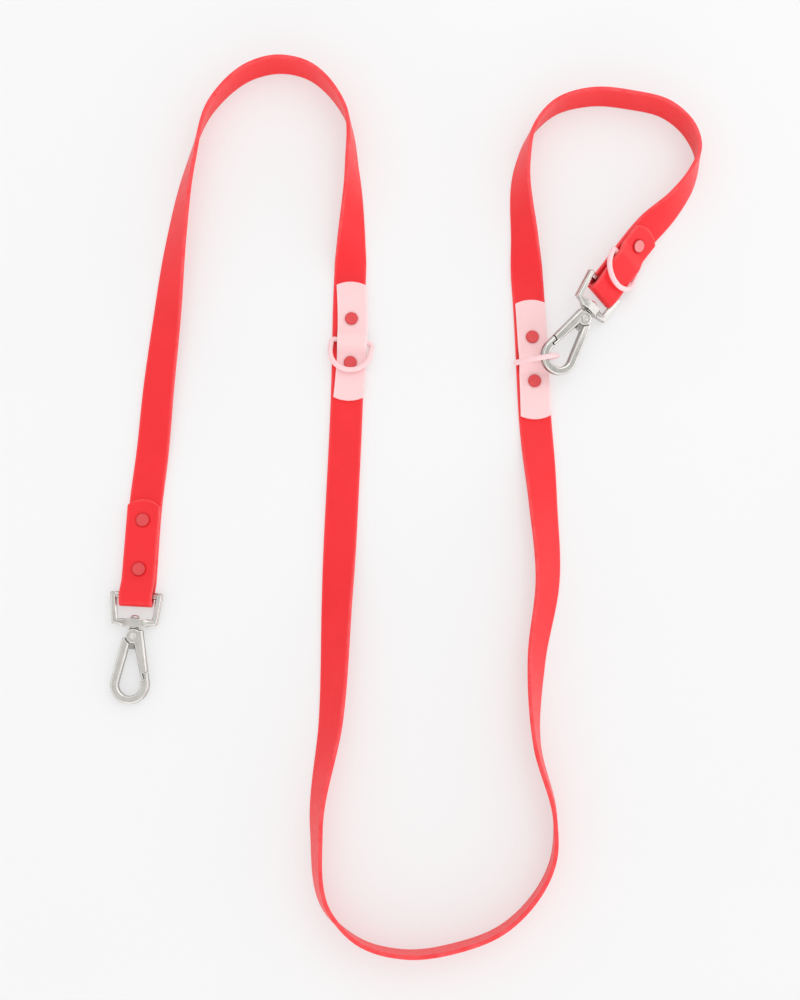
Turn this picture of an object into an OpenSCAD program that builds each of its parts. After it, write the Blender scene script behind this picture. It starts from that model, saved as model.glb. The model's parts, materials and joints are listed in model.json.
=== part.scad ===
// Multi-way dog leash lying on a table: one coated strap with a swivel snap hook riveted
// into each end, two riveted patches that hold D-rings, and a third D-ring in the handle end.
// The second hook is clipped into the middle ring, so that the strap's end makes a hand loop.
// Millimetres. X runs across the table, Y away from the viewer, Z up from the table.

/* [Strap] */
// Width of the strap
strap_w = 20; // [16:0.5:25]
// Thickness of the strap
strap_t = 2.5; // [2:0.1:3.2]
// Bevel along the strap's long edges
strap_bevel = 0.5; // [0.2:0.1:0.8]
// Gap between the two riveted layers at a folded end
tail_gap = 0.3; // [0.2:0.05:0.5]
// Radius of the arched end of a folded tail
tail_arch_r = 15; // [14:0.5:30]
// Length of the left tail, from the eye's bar to the arched end
left_tail = 59; // [54:1:70]
// Length of the handle tail, from the eye's bar to the arched end
handle_tail = 47; // [42:1:52]

/* [Patches] */
// Length of a patch along the strap
patch_l = 76; // [64:1:90]
// Thickness of a patch
patch_t = 2; // [1.5:0.1:2.5]
// How much narrower a patch is than the strap
patch_inset = 1.5; // [0:0.1:3]
// Radius of the arched ends of a patch
patch_arch_r = 22; // [15:1:40]
// Distance between the two rivets of a patch
patch_rivet_pitch = 28; // [26:0.5:36]

/* [Rings] */
// Diameter of the ring wire
ring_wire = 3.2; // [2.5:0.1:4]
// Free room on each side between a ring and a patch
ring_side_gap = 1.8; // [1.7:0.1:2.4]
// Length of the straight legs of a D-ring
ring_leg = 6.5; // [4:0.5:9]
// Bend radius where a leg meets the straight bar
ring_corner_r = 2.2; // [1.8:0.1:2.3]

/* [Rivets] */
// Diameter of a rivet head
rivet_head_d = 8; // [6.5:0.5:9]
// Height of a cap above the surface
rivet_head_h = 1; // [0.6:0.1:1.6]
// Thickness of the flange under the strap
rivet_flange_t = 0.7; // [0.5:0.1:1]
// Outside diameter of the hollow post
rivet_post_d = 3.4; // [3:0.1:4.4]
// Diameter of the cap's stem inside the post
rivet_stem_d = 2.6; // [1.8:0.1:2.7]

/* [Hook eye] */
// Diameter of the bar in the strap's fold
eye_bar_d = 4; // [3:0.1:5]
// Free room on each side between the strap and the eye
eye_side_gap = 2.25; // [1.5:0.05:3]
// Width of the eye's side bars
eye_side_w = 3.75; // [3:0.05:5]
// How much each side bar leans in towards the foot
eye_taper = 2.1; // [0:0.1:3]
// Distance from the bar to the lower corners
eye_l = 17.4; // [16:0.1:20]
// Thickness of the eye
eye_t = 4; // [3:0.1:5]
// Height of the faceted swivel boss
boss_d = 7.6; // [7:0.1:9]

/* [Hook] */
// Thickness of the hook
hook_t = 5; // [4.5:0.1:6.5]
// Width of the hook's limb
hook_limb = 5; // [4:0.1:5.6]
// Bevel along the edges of hook, gate and eye
metal_bevel = 0.8; // [0.3:0.1:1]
// Middle radius of the round bow
bow_r = 9.2; // [8.6:0.1:11]
// Distance from the eye's bar to the gate's pin
pin_reach = 24.4; // [24.2:0.1:27]
// Distance from the gate's pin to the middle of the bow
bow_reach = 28.9; // [28:0.1:34]
// Lean of the two limbs from the hook's middle line
limb_lean = 11.4; // [9:0.1:13]
// Diameter of the swivel stud
stud_d = 3.5; // [2.8:0.1:4.4]

/* [Gate] */
// Diameter of the round cheeks on the gate's pivot
cheek_d = 8.8; // [8:0.1:9.4]
// Thickness of each cheek
cheek_t = 1.2; // [0.9:0.1:1.5]
// Diameter of the gate's pin
gate_pin_d = 3; // [2.4:0.1:3.6]
// Distance from the pin to the outer step of the lap joint
lap_near = 23.4; // [21:0.1:24]
// Length of the lap joint
lap_l = 3.5; // [2:0.1:4]
// Turns of the gate's spring
spring_turns = 5; // [3:1:5]
// Diameter of the spring's wire
spring_wire = 0.4; // [0.3:0.05:0.5]

/* [Clearances] */
// Radial clearance of a pin or stud that turns in a hole
run_gap = 0.05; // [0.02:0.01:0.1]
// Gap between pieces that pass each other
free_gap = 0.3; // [0.2:0.05:0.5]
// Gap at the gate's lap joint and round its cheeks
nose_gap = 0.7; // [0.3:0.05:0.8]
// Gap between pieces that lie on each other
lay_gap = 0.15; // [0.05:0.05:0.25]

/* [Hidden] */

$fn = 64;
eps = 0.01;

// Colours
red = [0.94, 0.22, 0.24];
pink = [1, 0.84, 0.86];
rivet_red = [0.84, 0.3, 0.34];
nickel = [0.78, 0.77, 0.75];
steel = [0.6, 0.6, 0.62];

// Turns of a point about the three axes
function turn_x(a, p) = [p.x, p.y * cos(a) - p.z * sin(a), p.y * sin(a) + p.z * cos(a)];
function turn_y(a, p) = [p.x * cos(a) + p.z * sin(a), p.y, p.z * cos(a) - p.x * sin(a)];
function turn_z(a, p) = [p.x * cos(a) - p.y * sin(a), p.x * sin(a) + p.y * cos(a), p.z];
function smooth(x) = let (t = min(1, max(0, x))) t * t * (3 - 2 * t);

// Half widths and levels that several pieces share
strap_half = strap_w / 2;
patch_w = strap_w - patch_inset;
ring_half = patch_w / 2 + ring_side_gap + ring_wire / 2;
patch_z = strap_t + lay_gap;
ring_bar_z = strap_t + lay_gap + ring_wire / 2;
eye_inner_half = strap_half + eye_side_gap;
eye_half = eye_inner_half + eye_side_w;
fold_r = eye_bar_d / 2 + free_gap + strap_t / 2;
tail_low = strap_t + tail_gap - fold_r;
tail_over_ring = strap_t + ring_wire + 2 * lay_gap - fold_r;
pair_stack = 2 * strap_t + tail_gap;
patch_stack = patch_z + patch_t;
rivet_hole_d = rivet_post_d + 2 * lay_gap;
rivet_seat = rivet_flange_t + lay_gap;

// Hook sizes measured from the eye's bar
bow_u = pin_reach + bow_reach;
bow_inner_r = bow_r - hook_limb / 2;
boss_top = eye_l - 3.4;
boss_foot = eye_l + 1.5;
stud_head_r = stud_d / 2 + 1;
stud_head_h = 2;
cheek_gap = lay_gap;
tongue_t = hook_t - 2 * cheek_t - 2 * cheek_gap;
tongue_r = cheek_d / 2 - 0.4;
tab_u = pin_reach + 8.1;
tab_v = 1;
web_t = 1.1;
slot_u = pin_reach + 9.6;
lap_far = lap_near + lap_l;
lap_angle = 18.7;
limb_dir = [cos(limb_lean), sin(limb_lean)];
limb_l = bow_reach * cos(limb_lean) - 2.3;
bow_side = [bow_u - bow_r * sin(limb_lean), bow_r * cos(limb_lean)];
gate_outer = bow_side + hook_limb / 2 * [-limb_dir.y, limb_dir.x];
function outer_v(u) = gate_outer.y - (gate_outer.x - u) * tan(limb_lean);

// Shift that brings the middle of the whole outline to the origin
table = [-0.6, -0.3];

// Left end: the bar of the eye, and the way the strap points there
left_bar = [-166 + table.x, -65 + table.y, strap_t / 2 + fold_r];
left_heading = 267;
left_pitch = 1.5;
left_rivets = [-46, -16];
left_fold_u = 2;
left_slip = 0.7;

// Patches and rings: place on the table, turn of the patch, turn and rise of the ring
patch_at = [[-37.5, 93.5] + table, [75.7, 81.8] + table];
patch_turn = [-1.2, 2];
ring_at = [[-36.8, 93] + table, [76.8, 81.3] + table];
ring_heading = [-98, -80];
ring_rise = [10, 79];
ring_3_u = -21.5;
ring_3_rise = 27 + 4 * (strap_t - 2.5);
ring_3_slip = 0.2;

// Right end: the strap lies on its lower edge, and the eye is turned a little in the fold
right_heading = -128;
right_roll = 36;
right_yaw = 2.5;
right_pitch = -5;
right_swivel = 195;
right_fold_u = 2.8;
right_rise = 0.4;
handle_rivet_u = -34.5;
right_slip = eye_side_gap - free_gap - 0.75;

// The clipped hook's bow goes round the right leg of the second ring
function right_turn(p) = turn_z(right_heading, turn_x(-right_roll, p));
function eye_turn(p) = right_turn(turn_z(right_yaw, turn_y(right_pitch, p)));
function hook_turn(p) = eye_turn(turn_x(right_swivel, p));
function on_ring(i, p) =
    [ring_at[i].x, ring_at[i].y, ring_bar_z]
    + turn_z(ring_heading[i], turn_y(-ring_rise[i], p));
clip_rise = 6;
clip_along = -0.5;
clip_room = 3.6;
clip_v = bow_inner_r - ring_wire / 2 - clip_room;
clip_point = on_ring(1, [clip_rise, ring_half, 0]);
right_bar_plan = clip_point - hook_turn([bow_u + clip_along, clip_v, 0]);
right_bar_z = eye_half * sin(right_roll) + eye_t / 2 * cos(right_roll) + right_rise;
right_bar = [right_bar_plan.x, right_bar_plan.y, right_bar_z];

// Route of the strap: place on the table and roll, positive where the right edge is lifted
route = [
    [-159.5, 20, 4], [-156, 66, 14], [-152, 106, 26], [-147, 157, 47], [-139, 206, 68],
    [-126, 246, 86], [-101, 269, 93], [-85, 273, 95], [-68, 270, 95], [-42, 242, 89],
    [-37, 203, 70], [-37.5, 155, 32], [-38.5, 131, 0], [-40, 54, 0], [-43, -20, -3],
    [-45, -68, -24], [-48, -139, -46], [-56, -203, -71], [-48.5, -250, -80], [-31, -266, -88],
    [-4, -273, -91], [25, -269.5, -92], [52.5, -259, -91], [83, -218, -88], [84, -197, -84],
    [74, -154, -78], [74.5, -104, -58], [82, -56, -43], [80, -7, -28], [76.5, 44, 0],
    [73.5, 120, 0], [71, 157, 40], [70, 206, 69], [77, 229, 85], [91, 244, 93],
    [114, 251, 97], [139, 249, 96], [163, 242, 95], [176, 229, 93], [181, 214, 85],
    [176, 197, 72], [165, 181, 58]
];
ring_step = 12;
leg_from = 8;
tail_steps = 14;

// Ends of the route, on the straight leg beside each fold
function rest_z(roll) = strap_half * abs(sin(roll)) + strap_t / 2 * abs(cos(roll));
left_leg = left_bar + turn_z(left_heading, [-leg_from, left_slip, -fold_r]);
left_leg_in = left_bar + turn_z(left_heading, [-left_tail - 3, left_slip, -fold_r]);
right_leg_in = right_bar + right_turn([-handle_tail, right_slip, -fold_r]);
right_leg = right_bar + right_turn([-leg_from, right_slip, -fold_r]);
right_lift = right_leg.z - rest_z(right_roll);
knots = concat(
    [[left_leg.x, left_leg.y, 0, 0], [left_leg_in.x, left_leg_in.y, 0, 0]],
    [for (p = route) [p.x + table.x, p.y + table.y, p.z, 0]],
    [
        [right_leg_in.x, right_leg_in.y, right_roll, right_lift],
        [right_leg.x, right_leg.y, right_roll, right_lift]
    ]
);
last_knot = len(knots) - 1;
spans = [for (i = [0 : last_knot - 1]) norm([knots[i + 1].x - knots[i].x, knots[i + 1].y - knots[i].y])];

// Slope at a knot: weighted by the two spans for the place, and never overshooting for roll and lift
function gentle(a, b) = a * b <= 0 ? 0 : 2 * a * b / (a + b);
function span_slope(i) = (knots[i + 1] - knots[i]) / spans[i];
function knot_slope(i) =
    i == 0 ? span_slope(0)
    : i == last_knot ? span_slope(i - 1)
    : let (a = span_slope(i - 1), b = span_slope(i), f = spans[i] / (spans[i - 1] + spans[i]))
        [f * a.x + (1 - f) * b.x, f * a.y + (1 - f) * b.y, gentle(a.z, b.z), gentle(a[3], b[3])];
slopes = [for (i = [0 : last_knot]) knot_slope(i)];

// Cubic curve through the knots, and its direction
function route_point(i, t) =
    (2 * t ^ 3 - 3 * t ^ 2 + 1) * knots[i] + (t ^ 3 - 2 * t ^ 2 + t) * spans[i] * slopes[i]
    + (3 * t ^ 2 - 2 * t ^ 3) * knots[i + 1] + (t ^ 3 - t ^ 2) * spans[i] * slopes[i + 1];
function route_dir(i, t) =
    (6 * t ^ 2 - 6 * t) * (knots[i] - knots[i + 1]) / spans[i]
    + (3 * t ^ 2 - 4 * t + 1) * slopes[i] + (3 * t ^ 2 - 2 * t) * slopes[i + 1];

// Cross-section of the strap, and one ring of it on a point with its two directions
function section(half) = let (h = strap_t / 2, b = strap_bevel) [
    [half, b - h], [half, h - b], [half - b, h], [b - half, h],
    [-half, h - b], [-half, b - h], [b - half, -h], [half - b, -h]
];
function strap_ring(p, across, up, half) = [for (q = section(half)) p + q.x * across + q.y * up];

// Ring on the route, standing on the table at its own roll
function route_ring(i, t) =
    let (k = route_point(i, t), d = route_dir(i, t), n = norm([d.x, d.y]))
    let (left = [-d.y / n, d.x / n, 0], up = [0, 0, 1], roll = k.z)
    strap_ring(
        [k.x, k.y, rest_z(roll) + k[3]],
        cos(roll) * left - sin(roll) * up,
        cos(roll) * up + sin(roll) * left,
        strap_half
    );
function steps_of(i) = max(1, round(spans[i] / ring_step));
route_rings = concat(
    [for (i = [0 : last_knot - 1]) for (k = [0 : steps_of(i) - 1]) route_ring(i, k / steps_of(i))],
    [route_ring(last_knot - 1, 1)]
);

// Side view of a fold: round the bar, then along the tail to its arched end, as [u, z, half width]
function left_tail_z(u) = fold_r + (tail_low - fold_r) * smooth(-u / 11);
function handle_tail_z(u) =
    u > ring_3_u
    ? fold_r + (tail_over_ring - fold_r) * smooth((-1 - u) / 11)
    : tail_over_ring + (tail_low - tail_over_ring) * smooth((ring_3_u - 1 - u) / 8);
function tail_z(is_left, u) = is_left ? left_tail_z(u) : handle_tail_z(u);
function fold_path(is_left, fold_u, tail) =
    let (rise = is_left ? 12 : 31, tip = asin(strap_half / tail_arch_r))
    concat(
        [for (a = [0 : 22.5 : 180]) [fold_u + fold_r * sin(a), -fold_r * cos(a), strap_half]],
        [for (k = [0 : tail_steps]) let (u = -1 - k * rise / tail_steps)
            [u, tail_z(is_left, u), strap_half]],
        [for (a = [tip : -tip / 6 : tip / 7]) let (u = tail_arch_r * (1 - cos(a)) - tail)
            [u, tail_low, tail_arch_r * sin(a)]]
    );
function end_rings(path, bar, forward, across, up, side) = [
    for (i = [0 : len(path) - 1])
        let (a = path[max(0, i - 1)], b = path[min(len(path) - 1, i + 1)])
        let (d = [b.x - a.x, b.y - a.y] / norm([b.x - a.x, b.y - a.y]))
        strap_ring(
            bar + path[i].x * forward + path[i].y * up,
            side * across,
            d.x * up - d.y * forward,
            path[i].z
        )
];
function turned_back(list) = [for (i = [len(list) - 1 : -1 : 0]) list[i]];
left_rings = end_rings(
    fold_path(true, left_fold_u, left_tail), left_bar,
    turn_z(left_heading, [1, 0, 0]), turn_z(left_heading, [0, 1, 0]), [0, 0, 1], -1
);
handle_rings = end_rings(
    fold_path(false, right_fold_u, handle_tail), right_bar + right_turn([0, right_slip, 0]),
    right_turn([1, 0, 0]), right_turn([0, 1, 0]), right_turn([0, 0, 1]), 1
);
strap_rings = concat(turned_back(left_rings), route_rings, handle_rings);

// Closed skin over a row of rings with the same number of points
module skin(rings) {
    n = len(rings[0]);
    last = len(rings) - 1;
    polyhedron(
        points = [for (r = rings) for (p = r) p],
        faces = concat(
            [for (j = [1 : n - 2]) [0, j, j + 1]],
            [for (j = [1 : n - 2]) [last * n, last * n + j + 1, last * n + j]],
            [for (i = [0 : last - 1]) for (j = [0 : n - 1]) let (k = (j + 1) % n)
                [i * n + j, (i + 1) * n + j, (i + 1) * n + k]],
            [for (i = [0 : last - 1]) for (j = [0 : n - 1]) let (k = (j + 1) % n)
                [i * n + j, (i + 1) * n + k, i * n + k]]
        ),
        convexity = 10
    );
}

// Places
module at_left_end() {
    translate(left_bar) rotate([0, 0, left_heading]) children();
}
module at_right_end() {
    translate(right_bar) rotate([0, 0, right_heading]) rotate([-right_roll, 0, 0]) children();
}
module at_handle_strap() {
    at_right_end() translate([0, right_slip, 0]) children();
}
module at_left_eye() {
    at_left_end() rotate([0, left_pitch, 0]) children();
}
module at_right_eye() {
    at_right_end() rotate([0, 0, right_yaw]) rotate([0, right_pitch, 0]) children();
}
module at_right_hook() {
    at_right_eye() rotate([right_swivel, 0, 0]) children();
}
module at_patch(i) {
    translate([patch_at[i].x, patch_at[i].y, 0]) rotate([0, 0, patch_turn[i]]) children();
}
module at_patch_rivets(i) {
    at_patch(i) for (s = [-1, 1]) translate([0, s * patch_rivet_pitch / 2, 0]) children();
}
module at_left_rivets() {
    at_left_end() for (u = left_rivets) translate([u, 0, -fold_r - strap_t / 2]) children();
}
module at_handle_rivet() {
    at_handle_strap() translate([handle_rivet_u, 0, -fold_r - strap_t / 2]) children();
}

// Hole for one rivet, with the seat for its flange on the underside
module rivet_hole(stack) {
    translate([0, 0, -1]) cylinder(d = rivet_hole_d, h = stack + 2);
    translate([0, 0, -1]) cylinder(d = rivet_head_d + 2 * lay_gap, h = 1 + rivet_seat);
}

module strap() {
    color(red) difference() {
        skin(strap_rings);
        at_left_rivets() rivet_hole(pair_stack);
        at_handle_rivet() rivet_hole(pair_stack);
        for (i = [0, 1]) at_patch_rivets(i) rivet_hole(patch_stack);
    }
}

// Underside of a patch along its length: flat, with a tunnel for the ring's bar
bump_top = 3.2;
bump_side = 6;
bump_h = ring_wire + lay_gap;
function bump(y) = bump_h * (1 - smooth((abs(y) - bump_top) / bump_side));
bump_ys = concat([-patch_l / 2], [for (k = [-6 : 6]) k * (bump_top + bump_side) / 6], [patch_l / 2]);

module patch_plan() {
    sag = patch_arch_r - sqrt(patch_arch_r ^ 2 - patch_w ^ 2 / 4);
    square([patch_w, patch_l - 2 * sag], center = true);
    for (s = [-1, 1]) intersection() {
        translate([0, s * (patch_l / 2 - patch_arch_r)]) circle(r = patch_arch_r);
        translate([0, s * (patch_l / 2 - sag / 2)]) square([patch_w, sag + eps], center = true);
    }
}
module patch(i) {
    color(pink) at_patch(i) translate([0, 0, patch_z]) difference() {
        intersection() {
            rotate([90, 0, 90]) linear_extrude(patch_w, center = true) polygon(concat(
                [for (y = bump_ys) [y, bump(y)]],
                [for (y = turned_back(bump_ys)) [y, bump(y) + patch_t]]
            ));
            translate([0, 0, -1]) linear_extrude(bump_h + patch_t + 2) patch_plan();
        }
        for (s = [-1, 1]) translate([0, s * patch_rivet_pitch / 2, -1])
            cylinder(d = rivet_hole_d, h = patch_t + 2);
    }
}
module patch_1() {
    patch(0);
}
module patch_2() {
    patch(1);
}

// D-ring with its bar along Y and its bow towards X
module d_ring() {
    straight = ring_half - ring_corner_r;
    color(pink) {
        rotate([90, 0, 0]) cylinder(d = ring_wire, h = 2 * straight, center = true);
        for (s = [-1, 1]) translate([ring_corner_r, s * ring_half, 0])
            rotate([0, 90, 0]) cylinder(d = ring_wire, h = ring_leg - ring_corner_r);
        for (s = [0, 1]) mirror([0, s, 0]) translate([ring_corner_r, straight, 0]) rotate([0, 0, 90])
            rotate_extrude(angle = 90) translate([ring_corner_r, 0]) circle(d = ring_wire);
        translate([ring_leg, 0, 0]) rotate([0, 0, -90])
            rotate_extrude(angle = 180) translate([ring_half, 0]) circle(d = ring_wire);
    }
}
module patch_ring(i) {
    translate([ring_at[i].x, ring_at[i].y, ring_bar_z])
        rotate([0, 0, ring_heading[i]]) rotate([0, -ring_rise[i], 0]) d_ring();
}
module ring_1() {
    patch_ring(0);
}
module ring_2() {
    patch_ring(1);
}
module ring_3() {
    at_handle_strap() translate([ring_3_u, -ring_3_slip, ring_bar_z - strap_t / 2 - fold_r])
        rotate([0, -ring_3_rise, 0]) d_ring();
}

// Two-piece rivet on an underside at Z 0: a cap with a stem, and a hollow post with a flange
stem_foot = rivet_flange_t + 0.3;
module rivet_cap(stack) {
    r = rivet_head_d / 2;
    top = stack + rivet_head_h;
    color(rivet_red) rotate_extrude() polygon([
        [0, stem_foot], [rivet_stem_d / 2, stem_foot], [rivet_stem_d / 2, stack + lay_gap],
        [r, stack + lay_gap], [r, top - 0.35], [r - 0.25, top - 0.05], [r - 0.7, top],
        [r - 1.1, top - 0.12], [0, top - 0.12]
    ]);
}
module rivet_post(stack) {
    r = rivet_head_d / 2;
    post = rivet_post_d / 2;
    bore = rivet_stem_d / 2 + run_gap;
    color(rivet_red) rotate_extrude() polygon([
        [0, lay_gap], [r - 0.25, lay_gap], [r, lay_gap + 0.25], [r, rivet_flange_t], [post, rivet_flange_t],
        [post, stack], [bore, stack], [bore, stem_foot - lay_gap], [0, stem_foot - lay_gap]
    ]);
}
module left_end_rivet_caps() {
    at_left_rivets() rivet_cap(pair_stack);
}
module left_end_rivet_posts() {
    at_left_rivets() rivet_post(pair_stack);
}
module patch_1_rivet_caps() {
    at_patch_rivets(0) rivet_cap(patch_stack);
}
module patch_1_rivet_posts() {
    at_patch_rivets(0) rivet_post(patch_stack);
}
module patch_2_rivet_caps() {
    at_patch_rivets(1) rivet_cap(patch_stack);
}
module patch_2_rivet_posts() {
    at_patch_rivets(1) rivet_post(patch_stack);
}
module handle_end_rivet_cap() {
    at_handle_rivet() rivet_cap(pair_stack);
}
module handle_end_rivet_post() {
    at_handle_rivet() rivet_post(pair_stack);
}

// Straight bar with bevelled edges, from a plan outline without hollows
module bevelled_bar(outline, thick) {
    hull() {
        linear_extrude(thick - 2 * metal_bevel, center = true) polygon(outline);
        linear_extrude(thick, center = true) offset(delta = -metal_bevel) polygon(outline);
    }
}

// Eye of the hook: bar for the strap, two leaning sides, foot with a swivel boss
module eye_frame() {
    bar_r = eye_bar_d / 2;
    foot_half = eye_half - eye_taper;
    foot_inner = eye_inner_half - eye_taper;
    boss_r = boss_d / 2;
    boss_half = boss_r + 3.4;
    boss_l = boss_foot - boss_top;
    color(nickel) difference() {
        union() {
            rotate([90, 0, 0]) cylinder(d = eye_bar_d, h = 2 * eye_half - eye_side_w, center = true);
            for (s = [0, 1]) mirror([0, s, 0]) bevelled_bar([
                [-bar_r, eye_inner_half], [-bar_r, eye_half - 1], [1 - bar_r, eye_half],
                [eye_l, foot_half], [eye_l - 1, foot_inner]
            ], eye_t);
            bevelled_bar([
                [eye_l - 3.2, -foot_inner - 1], [eye_l - 1, -foot_half], [eye_l, -foot_half + 0.8],
                [boss_foot - 0.2, -boss_r - 1.6], [boss_foot - 0.2, boss_r + 1.6],
                [eye_l, foot_half - 0.8], [eye_l - 1, foot_half], [eye_l - 3.2, foot_inner + 1]
            ], eye_t);
            translate([boss_top, 0, 0]) rotate([90, 0, 90]) linear_extrude(boss_l) polygon([
                [-boss_half, -1.4], [-boss_r, -boss_r], [boss_r, -boss_r], [boss_half, -1.4],
                [boss_half, 1.4], [boss_r, boss_r], [-boss_r, boss_r], [-boss_half, 1.4]
            ]);
        }
        rotate([0, 90, 0]) cylinder(r = stud_d / 2 + run_gap, h = boss_foot + 5);
    }
}
module left_eye_frame() {
    at_left_eye() eye_frame();
}
module right_eye_frame() {
    at_right_eye() eye_frame();
}

// Cross-section of the hook's limb, with bevelled edges
module limb_section() {
    w = hook_limb / 2;
    h = hook_t / 2;
    b = metal_bevel;
    polygon([[w, b - h], [w, h - b], [w - b, h], [b - w, h], [-w, h - b], [-w, b - h], [b - w, -h], [w - b, -h]]);
}
module limb_from(p, angle, length) {
    translate([p.x, p.y, 0]) rotate([0, 0, angle]) rotate([90, 0, 90]) linear_extrude(length) limb_section();
}

// Space of the gate's lap joint in plan, grown by a gap: two steps at arcs about the pin
module lap_plan(gap) {
    translate([pin_reach, 0]) {
        circle(r = lap_near + gap);
        intersection() {
            circle(r = lap_far + gap);
            rotate(lap_angle) translate([0, gap - 2 * lap_far]) square([2 * lap_far, 2 * lap_far]);
        }
    }
}

// Swivel stud with its riveted head in the eye, and the collar under the boss
module swivel_stud() {
    r = stud_d / 2;
    head_u = boss_top - lay_gap;
    collar_u = boss_foot + lay_gap;
    collar_r = r + 0.9;
    rotate([0, 90, 0]) rotate_extrude() polygon([
        [0, head_u - stud_head_h], [stud_head_r - 1.2, head_u - stud_head_h],
        [stud_head_r - 0.3, head_u - stud_head_h + 0.6], [stud_head_r, head_u - 0.5], [stud_head_r, head_u],
        [r, head_u], [r, collar_u], [collar_r, collar_u], [collar_r, collar_u + 0.6], [0, collar_u + 0.6]
    ]);
}

// Tongue between the gate's cheeks, with the tab that the spring sits on
module tongue_plan() {
    neck = stud_d / 2 + 0.9;
    translate([pin_reach, 0]) circle(r = tongue_r);
    polygon([[boss_foot + lay_gap, -neck], [boss_foot + lay_gap, neck], [pin_reach, tongue_r], [pin_reach, -tongue_r]]);
    polygon([[pin_reach, tab_v], [tab_u, tab_v], [tab_u, -outer_v(tab_u) + 1.5], [pin_reach, -tongue_r]]);
}

module hook_body() {
    bow_from = -90 - limb_lean;
    color(nickel) {
        swivel_stud();
        difference() {
            linear_extrude(tongue_t, center = true) tongue_plan();
            translate([pin_reach, 0, 0]) cylinder(r = gate_pin_d / 2 + run_gap, h = hook_t, center = true);
        }
        difference() {
            limb_from([bow_side.x, -bow_side.y], 180 - limb_lean, limb_l);
            for (s = [-1, 1]) translate([pin_reach, 0, s * (tongue_t + hook_t) / 2])
                cylinder(d = cheek_d + 2 * nose_gap, h = hook_t, center = true);
            translate([pin_reach, 0, 0]) cylinder(r = gate_pin_d / 2 + run_gap, h = hook_t, center = true);
        }
        difference() {
            union() {
                translate([bow_u, 0, 0]) rotate([0, 0, bow_from])
                    rotate_extrude(angle = -2 * bow_from) translate([bow_r, 0]) limb_section();
                limb_from(bow_side, 180 + limb_lean, 7);
            }
            linear_extrude(hook_t + 2, center = true) lap_plan(nose_gap / 2);
        }
    }
}
module left_hook_body() {
    at_left_eye() hook_body();
}
module right_hook_body() {
    at_right_hook() hook_body();
}

// Forked gate: two cheeks on the pin, a channel over the spring, a solid end with the lap step
module gate() {
    shoulder = pin_reach - 3.8;
    tip = bow_u + 1;
    outline = [
        [shoulder, outer_v(shoulder)], [tip, outer_v(tip)], [tip, outer_v(tip) - 4.4],
        [pin_reach, -0.4], [shoulder, 0]
    ];
    web_v = web_t / cos(limb_lean);
    color(nickel) difference() {
        union() {
            translate([pin_reach, 0, 0]) rotate_extrude() polygon([
                [0, -hook_t / 2], [cheek_d / 2 - 0.4, -hook_t / 2], [cheek_d / 2, 0.4 - hook_t / 2],
                [cheek_d / 2, hook_t / 2 - 0.4], [cheek_d / 2 - 0.4, hook_t / 2], [0, hook_t / 2]
            ]);
            intersection() {
                bevelled_bar(outline, hook_t);
                linear_extrude(hook_t + 2, center = true) lap_plan(-nose_gap / 2);
            }
        }
        linear_extrude(tongue_t + 2 * cheek_gap, center = true) polygon([
            [shoulder - 5, -cheek_d], [shoulder - 5, outer_v(shoulder - 5) - web_v],
            [slot_u, outer_v(slot_u) - web_v], [slot_u, -cheek_d]
        ]);
        translate([pin_reach, 0, 0]) cylinder(d = gate_pin_d + 2 * eps, h = hook_t + 2, center = true);
    }
}
module left_gate() {
    at_left_eye() gate();
}
module right_gate() {
    at_right_hook() gate();
}

// Gate pin with a dished head on each cheek
module gate_pin() {
    r = gate_pin_d / 2;
    h = hook_t / 2 + 0.05;
    half = [
        [0, h + 0.15], [0.9, h + 0.15], [1.2, h + 0.4], [r + 0.4, h + 0.35], [r + 0.6, h + 0.2], [r + 0.6, h], [r, h]
    ];
    color(steel) translate([pin_reach, 0, 0])
        rotate_extrude() polygon(concat(half, [for (p = turned_back(half)) [p.x, -p.y]]));
}
module left_gate_pin() {
    at_left_eye() gate_pin();
}
module right_gate_pin() {
    at_right_hook() gate_pin();
}

// Coil spring in the gate's channel, from the tab to the web, as one unbroken tube
spring_u = pin_reach + 5;
spring_r = tongue_t / 2 - spring_wire / 2;
spring_from = tab_v + lay_gap + spring_wire / 2;
spring_to = outer_v(spring_u - spring_r) - web_t / cos(limb_lean) - lay_gap - spring_wire / 2;
spring_pitch = (spring_to - spring_from) / spring_turns;
curl_rings = 8;
wire_sides = 6;
function spring_point(a) = [spring_u + spring_r * cos(a), spring_from + spring_pitch * a / 360, spring_r * sin(a)];
function spring_ring(a) = let (out = [cos(a), 0, sin(a)], up = [0, 1, 0]) [
    for (k = [0 : wire_sides - 1])
        spring_point(a) + spring_wire / 2 * (cos(k * 360 / wire_sides) * out + sin(k * 360 / wire_sides) * up)
];
spring_gap = min([for (k = [0 : curl_rings - 1]) let (a = k * 360 / curl_rings)
    norm(spring_point(a + 360) - spring_point(a))]) - spring_wire;
echo(spring_gap = spring_gap);
module gate_spring() {
    color(steel) skin([for (k = [0 : spring_turns * curl_rings]) spring_ring(-k * 360 / curl_rings + 360 * spring_turns)]);
}
module left_gate_spring() {
    at_left_eye() gate_spring();
}
module right_gate_spring() {
    at_right_hook() gate_spring();
}

strap();
patch_1();
patch_2();
ring_1();
ring_2();
ring_3();
left_end_rivet_caps();
left_end_rivet_posts();
patch_1_rivet_caps();
patch_1_rivet_posts();
patch_2_rivet_caps();
patch_2_rivet_posts();
handle_end_rivet_cap();
handle_end_rivet_post();
left_eye_frame();
left_hook_body();
left_gate();
left_gate_pin();
left_gate_spring();
right_eye_frame();
right_hook_body();
right_gate();
right_gate_pin();
right_gate_spring();
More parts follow.
